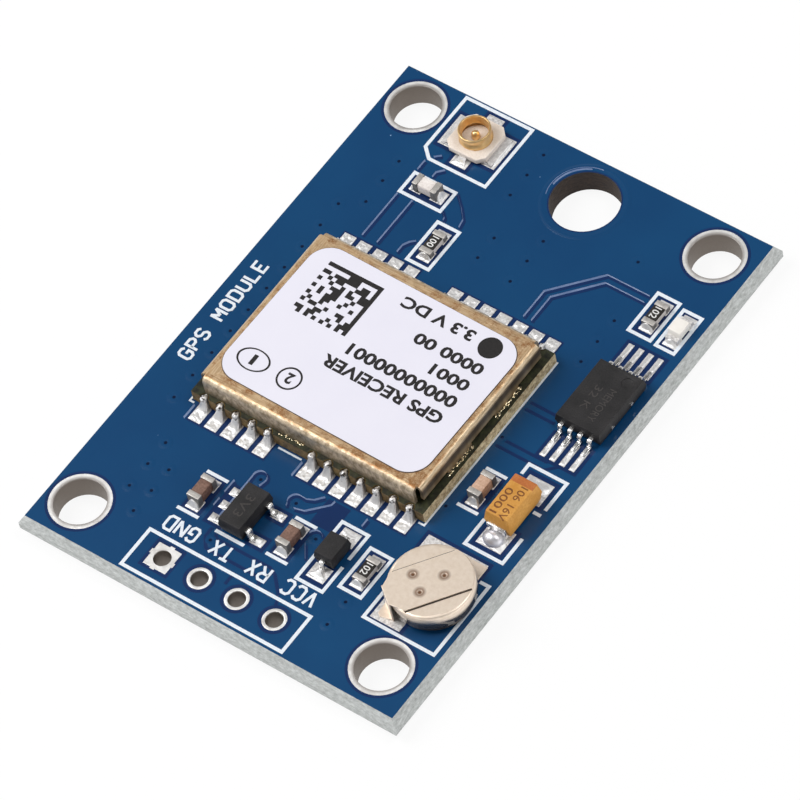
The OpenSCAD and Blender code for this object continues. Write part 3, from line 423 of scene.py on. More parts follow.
# Painted shade: a greyer band on each mounting ring by the hole's edge, where the rounded pad is shaded.
rim = add(tree, "MapRange", {"Value": away, "From Min": 1.53 * MM, "From Max": 1.68 * MM})
wear_and_painted_shade = add(tree, "Mix", {0: rim, 6: "#A9A39F", 7: metal}, data_type="RGBA")
wall = add(tree, "Mix", {0: painted_hole_shade_fade, 6: "#80776F", 7: wear_and_painted_shade}, data_type="RGBA")
grained(tree, shader, wall, grain, (0.4, 0.6), 0.25, 0.03)
dress("mounting_hole_plating", "mounting_rings", bright_tin, "tinned_copper", 0.09, 3)
dress("header_hole_plating", "header_rings", bright_tin, "tinned_copper", 0.06, 3)
# The square pad is tied to the flooded copper by four short spokes.
SPOKES = [(-0.78, 0.1, 0.16, 0.3), (0.78, -0.1, 0.16, 0.3), (0.1, 0.78, 0.3, 0.16), (-0.1, -0.78, 0.3, 0.16)]
SPOKE_H = 0.006
bm = bmesh.new()
for x, y, long, wide in SPOKES:
    block(bm, (HEADER[0][0] + x, HEADER[0][1] + y), (long, wide), BOARD_TOP, SPOKE_H)
build(bm, "square_pad_spokes", [bright_tin], "tinned_copper")


# Solder lands: bare copper pads, tinned, under the receiver's edge and under every other part.
# They stand a little over the mask, with soft edges where the tin rounds off.
# Tin that melted in the oven and set: duller than solder, with a frost 0.16 mm across.
frosty_tin, tree, shader, spot = finish("reflowed_tin_on_pads", {"Metallic": 0.75})
grain = add(tree, "TexNoise", {"Vector": spot, "Scale": 1 / (0.16 * MM), "Detail": 5, "Roughness": 0.6})
tone = add(tree, "MapRange", {"Value": grain, "From Min": 0.34, "From Max": 0.6})
metal = add(tree, "Mix", {0: tone, 6: "#BDB9B7", 7: "#EDEBEA"}, data_type="RGBA")
grained(tree, shader, metal, grain, (0.42, 0.65), 0.3, 0.04)
dress("receiver_lands", "receiver_pads", frosty_tin, "tinned_copper", 0.02)
dress("component_lands", "part_pads", frosty_tin, "tinned_copper", 0.02)


# White print: epoxy ink pulled through a screen on to the mask, 0.02 mm thick. It frames every part and
# names the header's pins in plain strokes, and one line along the side says what the board is.
PRINT_H = 0.018
PRINT_SOFT = 0.01
# Screen ink: matt white with a faint blue where it lies thin, and a grain from the screen.
white_ink = two_tone("white_screen_ink", "#C9D3DF", "#F2F5F8", 0.18,
                     {"Specular IOR Level": 0.3, "Roughness": 0.55}, detail=4, bump=(0.3, 0.02))


def frame_line(x0, y0, x1, y1):
    """A printed box as a closed line."""
    return [(x0, y0), (x1, y0), (x1, y1), (x0, y1), (x0, y0)]


PRINT_FRAMES = [
    [(-8.27, 13.6), (-8.27, 17.54), (-3.7, 17.54), (-3.7, 13.0), (-7.6, 13.0), (-8.27, 13.6)],
    frame_line(-7.7, 10.35, -4.88, 11.82), frame_line(-4.57, 6.78, -3.08, 9.7),
    frame_line(8.81, 9.1, 10.27, 11.94), frame_line(10.68, 9.03, 11.88, 11.72),
    [(9.3, -1.6), (9.3, -0.88), (11.8, -0.88), (11.8, -2.9)],
    [(9.3, -5.0), (9.3, -6.82), (11.8, -6.82), (11.8, -5.0)],
    [(11.3, -3.3), (11.8, -3.3)],
    [(7.42, -2.27), (8.82, -2.27)], [(7.42, -4.95), (8.82, -4.95)],
    [(-5.6, -10.25), (-4.13, -10.25)], [(-5.6, -12.95), (-4.13, -12.95)],
    [(0.4, -10.17), (1.85, -10.17)], [(0.4, -12.85), (1.85, -12.85)], [(-2.85, -13.1), (-0.9, -13.1)],
    [(2.78, -10.9), (2.78, -9.11), (4.54, -9.11), (4.54, -10.9)],
    [(2.78, -11.45), (2.78, -13.29), (4.54, -13.29), (4.54, -11.45)],
    frame_line(5.11, -12.52, 6.55, -9.68),
    [(11.45, -8.4), (12.05, -8.4), (12.05, -13.4), (7.38, -13.4), (7.38, -11.1)],
    frame_line(-5.97, -17.47, 4.95, -14.88),
]
RECEIVER_OUTLINE = [
    [(6.74, 5.35), (6.74, -7.02), (6.35, -7.02)], [(-3.15, -7.02), (-1.55, -7.02)],
    [(-9.25, -6.6), (-9.25, -7.02), (-8.95, -7.02)],
]
strokes("print_frames", PRINT_FRAMES, 0.21, PRINT_H, [white_ink], "label", PRINT_SOFT)
strokes("print_receiver_outline", RECEIVER_OUTLINE, 0.12, PRINT_H, [white_ink], "label", PRINT_SOFT)

LETTERS = {
    "C": [[(4, 5), (3, 6), (1, 6), (0, 5), (0, 1), (1, 0), (3, 0), (4, 1)]],
    "D": [[(0, 0), (0, 6), (3, 6), (4, 5), (4, 1), (3, 0), (0, 0)]],
    "E": [[(4, 6), (0, 6), (0, 0), (4, 0)], [(0, 3), (3, 3)]],
    "G": [[(4, 5), (3, 6), (1, 6), (0, 5), (0, 1), (1, 0), (3, 0), (4, 1), (4, 3), (2, 3)]],
    "L": [[(0, 6), (0, 0), (4, 0)]],
    "M": [[(0, 0), (0, 6)], [(0, 6), (2, 2.4)], [(2, 2.4), (4, 6)], [(4, 6), (4, 0)]],
    "N": [[(0, 0), (0, 6)], [(0, 6), (4, 0)], [(4, 0), (4, 6)]],
    "O": [[(1, 0), (0, 1), (0, 5), (1, 6), (3, 6), (4, 5), (4, 1), (3, 0), (1, 0)]],
    "P": [[(0, 0), (0, 6), (3, 6), (4, 5), (4, 4), (3, 3), (0, 3)]],
    "R": [[(0, 0), (0, 6), (3, 6), (4, 5), (4, 4), (3, 3), (0, 3)], [(2, 3), (4, 0)]],
    "S": [[(4, 5), (3, 6), (1, 6), (0, 5), (0, 4), (1, 3), (3, 3), (4, 2), (4, 1), (3, 0), (1, 0), (0, 1)]],
    "T": [[(0, 6), (4, 6)], [(2, 6), (2, 0)]],
    "U": [[(0, 6), (0, 1), (1, 0), (3, 0), (4, 1), (4, 6)]],
    "V": [[(0, 6), (2, 0)], [(2, 0), (4, 6)]],
    "X": [[(0, 0), (4, 6)], [(0, 6), (4, 0)]],
}


def spell(words, start, along, tops, length, height):
    """Lines of a word from the place of its first letter's foot, with a length and a height."""
    step = length / (len(words) * 6 - 2)
    rise = height / 6
    lines = []
    for i, letter in enumerate(words):
        for line in LETTERS.get(letter, []):
            lines.append([(start[0] + along[0] * step * (6 * i + x) + tops[0] * rise * y,
                           start[1] + along[1] * step * (6 * i + x) + tops[1] * rise * y) for x, y in line])
    return lines


words = []
for pin, x, length in (("GND", -3.45, 2.05), ("TX", -1.1, 1.25), ("RX", 1.42, 1.3), ("VCC", 4.55, 2.05)):
    words += spell(pin, (x, -13.55), (-1, 0), (0, -1), length, 0.88)
words += spell("GPS MODULE", (-10.95, -4.9), (0, 1), (-1, 0), 7.35, 0.8)
strokes("print_pin_names", words, 0.165, PRINT_H, [white_ink], "label", PRINT_SOFT)


# Receiver board: a small laminate board of its own, green brown at its cut edges, with a plated half
# hole at each contact. It sits flat on the main board's lands.
RECEIVER = (-1.216, -0.769)
RECEIVER_W = 12.21
SEAT = 1.64
RECEIVER_TOP = 2.44
# Sawn laminate: tan glass with green mask smeared over it in places, a brown on the near edge that is
# painted shade, and a dark green ledge on top, darkened partly as painted shade beside the can, all rough
# from the saw.
green_laminate, tree, shader, spot = finish("green_masked_receiver_laminate", {"Specular IOR Level": 0.35})
cut = add(tree, "TexNoise", {"Vector": spot, "Scale": 1 / (0.32 * MM), "Detail": 6, "Roughness": 0.7})
tone = add(tree, "MapRange", {"Value": cut, "From Min": 0.36, "From Max": 0.62})
tan = add(tree, "Mix", {0: tone, 6: "#94784E", 7: "#F2E0B6"}, data_type="RGBA")
turned = add(tree, "SeparateXYZ", {0: add(tree, "NewGeometry").outputs["Normal"]})
# Painted shade: edge faces that look to the near side are painted a darker brown.
front = add(tree, "Math", {0: turned.outputs["Y"], 1: -0.5}, operation="LESS_THAN")
painted_front_shade = add(tree, "Mix", {0: tone, 6: "#4A3A20", 7: "#8A7147"}, data_type="RGBA")
edge = add(tree, "Mix", {0: front, 6: tan, 7: painted_front_shade}, data_type="RGBA")
tint = add(tree, "TexNoise", {"Vector": spot, "Scale": 1 / (2.2 * MM), "Detail": 3})
green = add(tree, "MapRange", {"Value": tint, "From Min": 0.56, "From Max": 0.74, "To Max": 0.7})
edge = add(tree, "Mix", {0: green, 6: edge, 7: "#4A5230"}, data_type="RGBA")
# The ledge's near-black green is partly painted shade beside the can.
strip = add(tree, "Mix", {0: tone, 6: "#0E110A", 7: "#353820"}, data_type="RGBA")
place = add(tree, "SeparateXYZ", {0: spot})
ledge = add(tree, "Math", {0: place.outputs["Z"], 1: (RECEIVER_TOP - 0.01) * MM}, operation="GREATER_THAN")
edge = add(tree, "Mix", {0: ledge, 6: edge, 7: strip}, data_type="RGBA")
bump = add(tree, "Bump", {"Height": cut, "Strength": 0.4, "Distance": 0.05 * MM})
feed(tree, shader, {"Base Color": edge, "Normal": bump, "Roughness": 0.5})
coat("receiver_board", green_laminate)

# Gold flash over nickel on the half holes, dulled by flux: brown yellow metal with cloudy wear.
gold_flash = two_tone("gold_flash_over_nickel", "#2E2718", "#6B5C3C", 0.4,
                      {"Metallic": 1}, detail=4, gloss=(0.3, 0.5))
coat("receiver_contacts", gold_flash)


# Receiver solder: tin solder that was drawn up each half hole and over the land, wetted to a thin skin at
# the outer end and a concave cone at the receiver's edge, with grey flux specks at the tips.
CONTACT_PITCH = 1.1
CONTACT_X = [-7.0 + CONTACT_PITCH * i for i in range(5)] + [0.4 + CONTACT_PITCH * i for i in range(7)]


def solder_run(bm, at, turn, seed, start, reach, height, widths, skin=0.03, cone=0.55, rough=0.02):
    """Solder along +x from a wall at x = 0: a round nose up the wall on a thin skin over the land."""
    made = bmesh.ops.create_grid(bm, x_segments=20, y_segments=16, size=0.5)["verts"]
    faces = list(dict.fromkeys(f for v in made for f in v.link_faces))
    for v in made:
        s, t = v.co.x + 0.5, v.co.y * 2
        x = start + (reach - start) * s
        out = max(x, 0) / reach
        spread = widths[0] + (widths[1] - widths[0]) * min(1, out / 0.4)
        if x < 0:
            spread = min(spread, 2 * sqrt(max(widths[0] ** 2 / 4 - x * x * 0.9, 0.0009)))
        y = t * spread / 2
        grit = noise.noise(Vector((x * 4 + seed * 9.1, y * 4 + seed * 3.7, seed)))
        fine = noise.noise(Vector((x * 11 + seed * 5.3, y * 11 + seed * 2.1, seed + 40)))
        fall = min(1, out / cone)
        rise = height * (1 - fall * fall * (3 - 2 * fall)) ** 1.3
        half = widths[0] / 2 + (widths[1] - widths[0]) / 2 * fall
        hill = rise * max(0, 1 - (y / half) ** 2) ** 0.6
        edge_fall = max(0, 1 - abs(t) ** 6)
        z = hill + skin * edge_fall * (1 if s < 0.95 else 0.5)
        z += (rough * grit + 0.7 * rough * fine) * edge_fall
        v.co = (x + 0.015 * grit * out, y * (1 + 0.03 * grit), max(z, 0.004))
    lower = bmesh.ops.extrude_face_region(bm, geom=faces)["geom"]
    feet = [g for g in lower if isinstance(g, bmesh.types.BMVert)]
    for v in feet:
        v.co.z = 0
    both = made + feet
    bmesh.ops.rotate(bm, cent=(0, 0, 0), matrix=Matrix.Rotation(radians(turn), 3, "Z"), verts=both)
    bmesh.ops.translate(bm, vec=(at[0], at[1], at[2]), verts=both)


def solder_piece(bm, name, *replaced):
    """Finishes a group of solder joints as one piece."""
    bmesh.ops.recalc_face_normals(bm, faces=bm.faces)
    piece = build(bm, name, [solder], "solder", *replaced)
    piece.data.shade_smooth()
    piece.data.set_sharp_from_angle(angle=radians(60))
    return piece


# Tin solder: bright where it flowed, with frost 0.14 mm across and dark specks of burnt flux.
solder, tree, shader, spot = finish("bright_tin_solder", {"Metallic": 0.85})
frost = add(tree, "TexNoise", {"Vector": spot, "Scale": 1 / (0.14 * MM), "Detail": 4})
flux = add(tree, "TexNoise", {"Vector": spot, "Scale": 1 / (0.17 * MM), "Detail": 3, "Roughness": 0.7})
place = add(tree, "SeparateXYZ", {0: spot})
climb = add(tree, "MapRange", {"Value": place.outputs["Z"], "From Min": 1.85 * MM, "From Max": 2.45 * MM,
            "To Min": -0.05, "To Max": 0.13})
soot = add(tree, "Math", {0: flux, 1: climb}, operation="ADD")
burnt = add(tree, "MapRange", {"Value": soot, "From Min": 0.63, "From Max": 0.7})
metal = add(tree, "Mix", {0: frost, 6: "#D6D4D3", 7: "#F4F3F2"}, data_type="RGBA")
tone = add(tree, "Mix", {0: burnt, 6: metal, 7: "#463E38"}, data_type="RGBA")
grained(tree, shader, tone, frost, (0.32, 0.58), 0.55, 0.04)
bm = bmesh.new()
for i, x in enumerate(CONTACT_X):
    for side in (-1, 1):
        at = (RECEIVER[0] + x, RECEIVER[1] + side * RECEIVER_W / 2, SEAT)
        solder_run(bm, at, 90 * side, i + 20 * (side + 1), -0.24, 1.12, 0.8, (0.5, 0.8), 0.03, 0.56, 0.04)
        knob = bmesh.ops.create_icosphere(bm, subdivisions=3, radius=0.21)["verts"]
        for v in knob:
            lump = noise.noise(v.co * 9 + Vector((i * 3.1, side * 7.7, 0)))
            v.co *= 1 + 0.22 * lump
        bmesh.ops.scale(bm, vec=(0.95, 1.15, 0.8), verts=knob)
        bmesh.ops.translate(bm, vec=(at[0], at[1] + side * 0.02, RECEIVER_TOP - 0.06), verts=knob)
solder_piece(bm, "contact_solder", "receiver_solder")


# Shield can: plated brass sheet 0.2 mm thick, cut flat, folded on four sides and soldered down by the feet
# between its slots. Its plating is worn and tarnished, brown on top round the label.
CAN_TOP = 3.69
CAN_L, CAN_W = 15.05, 11.55
# Brass under worn plating: rolled streaks beside each fold on top and rusty patches by the label. Painted
# light on the skirts: mottled patches, partly painted reflections of the contacts; a darkening towards the
# feet, partly dirt and partly painted shade; and on the end skirts a painted dark reflection band under a
# painted highlight on the fold.
tarnished_can, tree, shader, spot = finish("tarnished_plated_brass", {"Metallic": 0.8})
middle = add(tree, "VectorMath", {0: spot, 1: (RECEIVER[0] * MM, RECEIVER[1] * MM, 0)},
             operation="SUBTRACT")
shares = add(tree, "VectorMath", {0: middle, 1: (2 / (CAN_L * MM), 2 / (CAN_W * MM), 0)},
             operation="MULTIPLY")
reach = add(tree, "VectorMath", {0: shares}, operation="ABSOLUTE")
nearest = add(tree, "SeparateXYZ", {0: reach})
by_end = add(tree, "Math", {0: nearest.outputs["X"], 1: nearest.outputs["Y"]}, operation="GREATER_THAN")
rolled = []
for scale in ((1 / (0.9 * MM), 1 / (0.08 * MM), 1), (1 / (0.08 * MM), 1 / (0.9 * MM), 1)):
    along = add(tree, "Mapping", {"Vector": spot, "Scale": scale})
    rolled.append(add(tree, "TexNoise", {"Vector": along, "Scale": 1.0, "Detail": 5}))
streak = add(tree, "Mix", {0: by_end, 2: rolled[0], 3: rolled[1]})
lines = add(tree, "MapRange", {"Value": streak, "From Min": 0.34, "From Max": 0.66})
brass = add(tree, "Mix", {0: lines, 6: "#BE9C74", 7: "#DAC09C"}, data_type="RGBA")
rust = add(tree, "TexNoise", {"Vector": spot, "Scale": 1 / (0.7 * MM), "Detail": 10, "Roughness": 0.85})
corner = add(tree, "VectorMath", {0: spot, 1: ((RECEIVER[0] + 6.6) * MM, (RECEIVER[1] - 5.2) * MM,
             CAN_TOP * MM)}, operation="DISTANCE")
damp = add(tree, "MapRange", {"Value": corner, "From Min": 1.5 * MM, "From Max": 6 * MM, "To Min": 0.07,
           "To Max": 0.0})
spread = add(tree, "Math", {0: rust, 1: damp}, operation="ADD")
rusty = add(tree, "MapRange", {"Value": spread, "From Min": 0.49, "From Max": 0.61, "To Max": 0.85})
brown = add(tree, "Mix", {0: rusty, 6: brass, 7: "#94602F"}, data_type="RGBA")
# Painted reflection, in part: soft patches on the skirts stand for reflections of the contacts, besides a
# real mottle.
stain = add(tree, "Mapping", {"Vector": spot, "Scale": (1 / (0.3 * MM), 1 / (0.3 * MM), 1 / (0.4 * MM))})
mottle = add(tree, "TexNoise", {"Vector": stain, "Scale": 1.0, "Detail": 5, "Roughness": 0.62})
patch = add(tree, "MapRange", {"Value": mottle, "From Min": 0.36, "From Max": 0.66})
side = add(tree, "Mix", {0: patch, 6: "#A08D74", 7: "#E4D3B9"}, data_type="RGBA")
place = add(tree, "SeparateXYZ", {0: spot})
# Darker towards the feet: partly dirt, partly painted shade.
foot = add(tree, "MapRange", {"Value": place.outputs["Z"], "From Min": (CAN_TOP - 1.2) * MM,
           "From Max": (CAN_TOP - 0.65) * MM, "To Min": 0.35, "To Max": 0.0})
side = add(tree, "Mix", {0: foot, 6: side, 7: "#4E4236"}, data_type="RGBA")
# Painted light on the end skirts: a dark band stands for the board's reflection, paler below, with a painted
# highlight on the fold above.
level = add(tree, "MapRange", {"Value": place.outputs["Z"], "From Min": (CAN_TOP - 1.2) * MM,
            "From Max": CAN_TOP * MM})
end = add(tree, "ValToRGB", {"Fac": level})
for at, code in ((0.25, "#D4C0A0"), (0.5, "#86796A"), (0.72, "#86796A"), (0.87, "#DCC9AC")):
    end.color_ramp.elements.new(at).color = linear(code)
end.color_ramp.elements[0].color = linear("#C4B092")
end.color_ramp.elements[5].color = linear("#DCC9AC")
wear_and_painted_shade = add(tree, "Mix", {0: lines, 6: "#C6BDB0", 7: (1, 1, 1, 1)}, data_type="RGBA")
end = add(tree, "Mix", {0: 1.0, 6: end, 7: wear_and_painted_shade}, data_type="RGBA", blend_type="MULTIPLY")
side = add(tree, "Mix", {0: by_end, 6: side, 7: end}, data_type="RGBA")
flat_top = add(tree, "MapRange", {"Value": place.outputs["Z"], "From Min": (CAN_TOP - 0.05) * MM,
               "From Max": (CAN_TOP - 0.006) * MM})
tone = add(tree, "Mix", {0: flat_top, 6: side, 7: brown}, data_type="RGBA")
gloss = add(tree, "MapRange", {"Value": patch, "To Min": 0.54, "To Max": 0.4})
bump = add(tree, "Bump", {"Height": streak, "Strength": 0.25, "Distance": 0.02 * MM})
feed(tree, shader, {"Base Color": tone, "Roughness": gloss, "Normal": bump})
# The sheet bends a little more softly than the plain solid's folds: each fold is opened about its own axis.
CAN_FOLD, CAN_BEND, WORN = 0.25, 0.05, 0.09
bm = softened("receiver_can", 0)
for v in bm.verts:
    for axis, length in ((0, CAN_L), (1, CAN_W)):
        for side in (-1, 1):
            wall = RECEIVER[axis] + side * length / 2
            across, rise = side * (v.co[axis] - wall) + CAN_FOLD, v.co.z - CAN_TOP + CAN_FOLD
            r = sqrt(across * across + rise * rise)
            if min(across, rise) > -0.002 and min(abs(r - CAN_FOLD), abs(r - CAN_BEND)) < 0.006:
                v.co[axis] = wall - side * (CAN_FOLD + WORN) + side * across * (r + WORN) / r
                v.co.z = CAN_TOP - CAN_FOLD - WORN + rise * (r + WORN) / r
smooth(build(bm, "shield_can", [tarnished_can], "can_sheet", "receiver_can"), 35)


# Specks at the can's feet: tiny splashes of solder and gold, left on the receiver's ledge where the can's
# feet were soldered down. Each strip along the ledge has its own count of them.
SPECK_STRIPS = [
    # first corner, last corner and count of each strip
    (6.32, 0.2, 6.5, 2.6, 46), (6.32, -4.2, 6.5, -1.8, 46), (-8.88, 0.35, -8.75, 2.5, 20),
    (-8.88, -4.1, -8.75, -1.9, 20), (-3.2, -6.68, -1.5, -6.56, 22), (-3.2, 5.02, -1.5, 5.14, 16),
]
# Splashed solder on gold: bright yellow and white glints.
gold_specks = two_tone("solder_splash_on_gold", "#9C7A34", "#FBF3D8", 0.2,
                       {"Metallic": 0.9, "Roughness": 0.25}, detail=2)
splash = Random(5)
bm = bmesh.new()
for x0, y0, x1, y1, count in SPECK_STRIPS:
    for _ in range(count):
        speck = bmesh.ops.create_icosphere(bm, subdivisions=1, radius=splash.uniform(0.02, 0.055))["verts"]
        stretch = splash.uniform(1, 2.6)
        drawn = (stretch if x1 - x0 > 1 else 1, stretch if y1 - y0 > 1 else 1, 0.8)
        at = (splash.uniform(x0, x1), splash.uniform(y0, y1), RECEIVER_TOP + 0.01)
        bmesh.ops.scale(bm, vec=drawn, verts=speck)
        bmesh.ops.translate(bm, vec=at, verts=speck)
build(bm, "can_foot_specks", [gold_specks], "solder")


# Label: white film with round corners, stuck on the can by hand and a little askew, printed in black with
# what the part is, a round mark by the first contact and a plain block of squares.
LABEL_TOP = 3.738
LABEL_SOLID_TOP = 3.75
LABEL_INK = 0.008
# Plastic film: smooth, faintly lilac white, with a dark brown band low on its cut edge.
white_film, tree, shader, spot = finish("white_label_film", {"Specular IOR Level": 0.4})
cloud = add(tree, "TexNoise", {"Vector": spot, "Scale": 1 / (3 * MM), "Detail": 3})
tone = add(tree, "Mix", {0: cloud, 6: "#DDDBE7", 7: "#E4E2EC"}, data_type="RGBA")
dimple = add(tree, "TexNoise", {"Vector": spot, "Scale": 1 / (0.5 * MM), "Detail": 2})
bump = add(tree, "Bump", {"Height": dimple, "Strength": 0.05, "Distance": 0.03 * MM})
place = add(tree, "SeparateXYZ", {0: spot})
edge_band = add(tree, "Math", {0: place.outputs["Z"], 1: (LABEL_TOP - 0.012) * MM}, operation="LESS_THAN")
film_with_edge_band = add(tree, "Mix", {0: edge_band, 6: tone, 7: "#4A3B33"}, data_type="RGBA")
feed(tree, shader, {"Base Color": film_with_edge_band, "Normal": bump, "Roughness": 0.4})
bm = softened("receiver_label", 0)
film = [v for v in bm.verts if v.co.z > LABEL_SOLID_TOP - 0.03]
bmesh.ops.translate(bm, vec=(0, 0, LABEL_TOP - LABEL_SOLID_TOP), verts=film)
smooth(build(bm, "can_label", [white_film], "label", "receiver_label"))
# A thin, matt brown line round the film.
brown_edge_line = two_tone("matt_brown_line_round_label", "#33261F", "#6E5845", 0.3, {"Roughness": 0.7})
bm = softened("receiver_label", 0)
film = [v for v in bm.verts if v.co.z > LABEL_SOLID_TOP - 0.03]
bmesh.ops.translate(bm, vec=(0, 0, CAN_TOP + 0.006 - LABEL_SOLID_TOP), verts=film)
bmesh.ops.scale(bm, vec=(1.0055, 1.0075, 1), verts=bm.verts,
                space=Matrix.Translation((-RECEIVER[0], -RECEIVER[1], 0)))
build(bm, "brown_line_round_label", [brown_edge_line], "label")

# Thermal print: a soft black with a slight grain.
black_ink = two_tone("black_label_ink", "#151313", "#2A2727", 0.15,
                     {"Roughness": 0.5, "Specular IOR Level": 0.3})


def print_words(bm, words, at, size, turn, foot, height, bold):
    """Printed words as a thin solid: middle, length and height of the line, and its turn in degrees."""
    letters = bpy.data.curves.new("printed words", "FONT")
    letters.body = words
    letters.offset = bold
    letters.extrude = 0.5
    letters.resolution_u = 3
    holder = bpy.data.objects.new("printed words", letters)
    bpy.context.scene.collection.objects.link(holder)
    mesh = bpy.data.meshes.new_from_object(holder.evaluated_get(bpy.context.evaluated_depsgraph_get()))
    low = Vector([min(v.co[i] for v in mesh.vertices) for i in range(3)])
    high = Vector([max(v.co[i] for v in mesh.vertices) for i in range(3)])
    span = high - low
    mesh.transform(Matrix.Translation((at[0], at[1], foot)) @ Matrix.Rotation(radians(turn), 4, "Z")
                   @ Matrix.Diagonal((size[0] / span.x, size[1] / span.y, height / span.z, 1))
                   @ Matrix.Translation((-(low.x + high.x) / 2, -(low.y + high.y) / 2, -low.z)))
    bm.from_mesh(mesh)
    bpy.data.objects.remove(holder)
    bpy.data.curves.remove(letters)
    bpy.data.meshes.remove(mesh)


LABEL_LINES = [
    # words, first and last x, first and last y of each printed line
    ("3.3 V DC", -1.89, 2.91, 2.92, 3.67), ("0000 00", 0.11, 4.66, 1.32, 2.07),
    ("0001", 2.11, 4.61, 0.07, 0.82), ("00000000001", -2.59, 4.66, -1.18, -0.38),
    ("GPS RECEIVER", -3.39, 4.61, -2.43, -1.63),
]
OVAL_MARK = (-6.64, -4.08)
ROUND_MARK = (-4.19, -4.08)
FIRST_CONTACT_DOT = (4.11, 3.17)
CODE_CORNER = (-6.94, -0.28)
CODE_SIDE = 3.7
CODE_CELLS = 14
bm = bmesh.new()
disc(bm, (0, 0), 1.05, LABEL_TOP, LABEL_INK, 0.93)
bmesh.ops.scale(bm, vec=(1, 0.69, 1), verts=bm.verts)
bmesh.ops.translate(bm, vec=(*OVAL_MARK, 0), verts=bm.verts)
for words, x0, x1, y0, y1 in LABEL_LINES:
    at = ((x0 + x1) / 2, (y0 + y1) / 2)
    print_words(bm, words, at, (x1 - x0, y1 - y0), 180, LABEL_TOP, LABEL_INK, 0.032)
print_words(bm, "1", OVAL_MARK, (0.26, 0.7), 180, LABEL_TOP, LABEL_INK, 0.03)
print_words(bm, "2", ROUND_MARK, (0.46, 0.7), 180, LABEL_TOP, LABEL_INK, 0.03)
disc(bm, FIRST_CONTACT_DOT, 0.7, LABEL_TOP, LABEL_INK)
disc(bm, ROUND_MARK, 0.75, LABEL_TOP, LABEL_INK, 0.64)
cell_side = CODE_SIDE / CODE_CELLS
for i in range(CODE_CELLS):
    for j in range(CODE_CELLS):
        rail = i == CODE_CELLS - 1 or j == CODE_CELLS - 1
        clock = (i == 0 and j % 2) or (j == 0 and i % 2)
        if rail or clock or (i and j and noise.cell(Vector((i * 1.3 + 0.5, j * 1.7 + 0.5, 3.5))) > 0.05):
            at = (CODE_CORNER[0] + (i + 0.5) * cell_side, CODE_CORNER[1] + (j + 0.5) * cell_side)
            block(bm, at, (cell_side, cell_side), LABEL_TOP, LABEL_INK)
seal(bm, 0.00005)
build(bm, "label_print", [black_ink], "label")


# Parts inside the can: a receiver chip, an oscillator in a metal can and an antenna filter, soldered to the
# receiver's board. The can hides them, so they keep their plain solids with their own finishes.
def moulding(name, dark, pale, grit):
    """Epoxy filled with silica, moulded matt: its grit shows as a fine salt grain."""
    made, tree, shader, spot = finish(name, {"Specular IOR Level": 0.35})
    sand = add(tree, "TexNoise", {"Vector": spot, "Scale": 1 / (grit * MM), "Detail": 4})
    slow = add(tree, "TexNoise", {"Vector": spot, "Scale": 1 / (1.2 * MM), "Detail": 2})
    blend = add(tree, "Math", {0: sand, 1: slow}, operation="MULTIPLY")
    salt = add(tree, "MapRange", {"Value": blend, "From Min": 0.12, "From Max": 0.4})
    tone = add(tree, "Mix", {0: salt, 6: dark, 7: pale}, data_type="RGBA")
    grained(tree, shader, tone, sand, (0.45, 0.65), 0.35, 0.02)
    return made


# Filled epoxy: matt black with a grey bloom.
black_epoxy = moulding("black_moulded_epoxy", "#121112", "#2A2829", 0.07)
for name in ("receiver_chip", "receiver_filter"):
    coat(name, black_epoxy)
# Drawn nickel silver: a warm grey satin.
satin_lid = two_tone("satin_nickel_lid", "#9C978A", "#CFCAB9", 0.2, {"Metallic": 1, "Roughness": 0.4})
coat("receiver_oscillator", satin_lid)


# Antenna socket: a drawn brass ring and a turned pin, gold plated, moulded into a cream polymer base, with
# tinned feet that are soldered at both sides and a signal tail in front.
# Liquid crystal polymer: a warm, matt cream.
cream_base = moulding("cream_liquid_crystal_polymer", "#DCCFC2", "#EFE4DA", 0.1)
dress("antenna_socket_base", "socket_base", cream_base, "socket_base", 0.04)
# Gold over brass shines warm and soft; the feet, which were tinned for soldering, are a blotched grey.
bright_gold, tree, shader, spot = finish("bright_gold_plated_brass", {"Metallic": 0.9})
wear = add(tree, "TexNoise", {"Vector": spot, "Scale": 1 / (0.3 * MM), "Detail": 3})
tone = add(tree, "Mix", {0: wear, 6: "#DDAE68", 7: "#F6D8A4"}, data_type="RGBA")
gloss = add(tree, "MapRange", {"Value": wear, "To Min": 0.24, "To Max": 0.36})
place = add(tree, "SeparateXYZ", {0: spot})
feet = add(tree, "Math", {0: place.outputs["Z"], 1: (SEAT + 0.125) * MM}, operation="LESS_THAN")
blotch = add(tree, "TexNoise", {"Vector": spot, "Scale": 1 / (0.35 * MM), "Detail": 5, "Roughness": 0.7})
blot = add(tree, "MapRange", {"Value": blotch, "From Min": 0.3, "From Max": 0.72})
tin = add(tree, "Mix", {0: blot, 6: "#B9B7B7", 7: "#ECEAE9"}, data_type="RGBA")
tinned = add(tree, "Mix", {0: feet, 6: tone, 7: tin}, data_type="RGBA")
satin = add(tree, "Mix", {0: feet, 2: gloss, 3: 0.62})
feed(tree, shader, {"Base Color": tinned, "Roughness": satin})
dress("antenna_socket_ring", "socket_ring", bright_gold, "gold_plating", 0.02, 2, 40, 60)
dress("antenna_socket_pin", "socket_pin", bright_gold, "gold_plating", 0.015, 2, 40, 50)
bm = bmesh.new()
solder_run(bm, (SOCKET[0], SOCKET[1] - 1.75, SEAT), -90, 61, -0.3, 0.16, 0.1, (0.8, 0.95), 0.03, 0.9, 0.02)
for side in (0, 180):
    at = (SOCKET[0] + 1.75 * cos(radians(side)), SOCKET[1], SEAT)
    solder_run(bm, at, side, 62 + side, -0.02, 0.16, 0.1, (2.0, 2.15), 0.02, 0.9, 0.01)
solder_piece(bm, "socket_solder", "antenna_socket_solder")


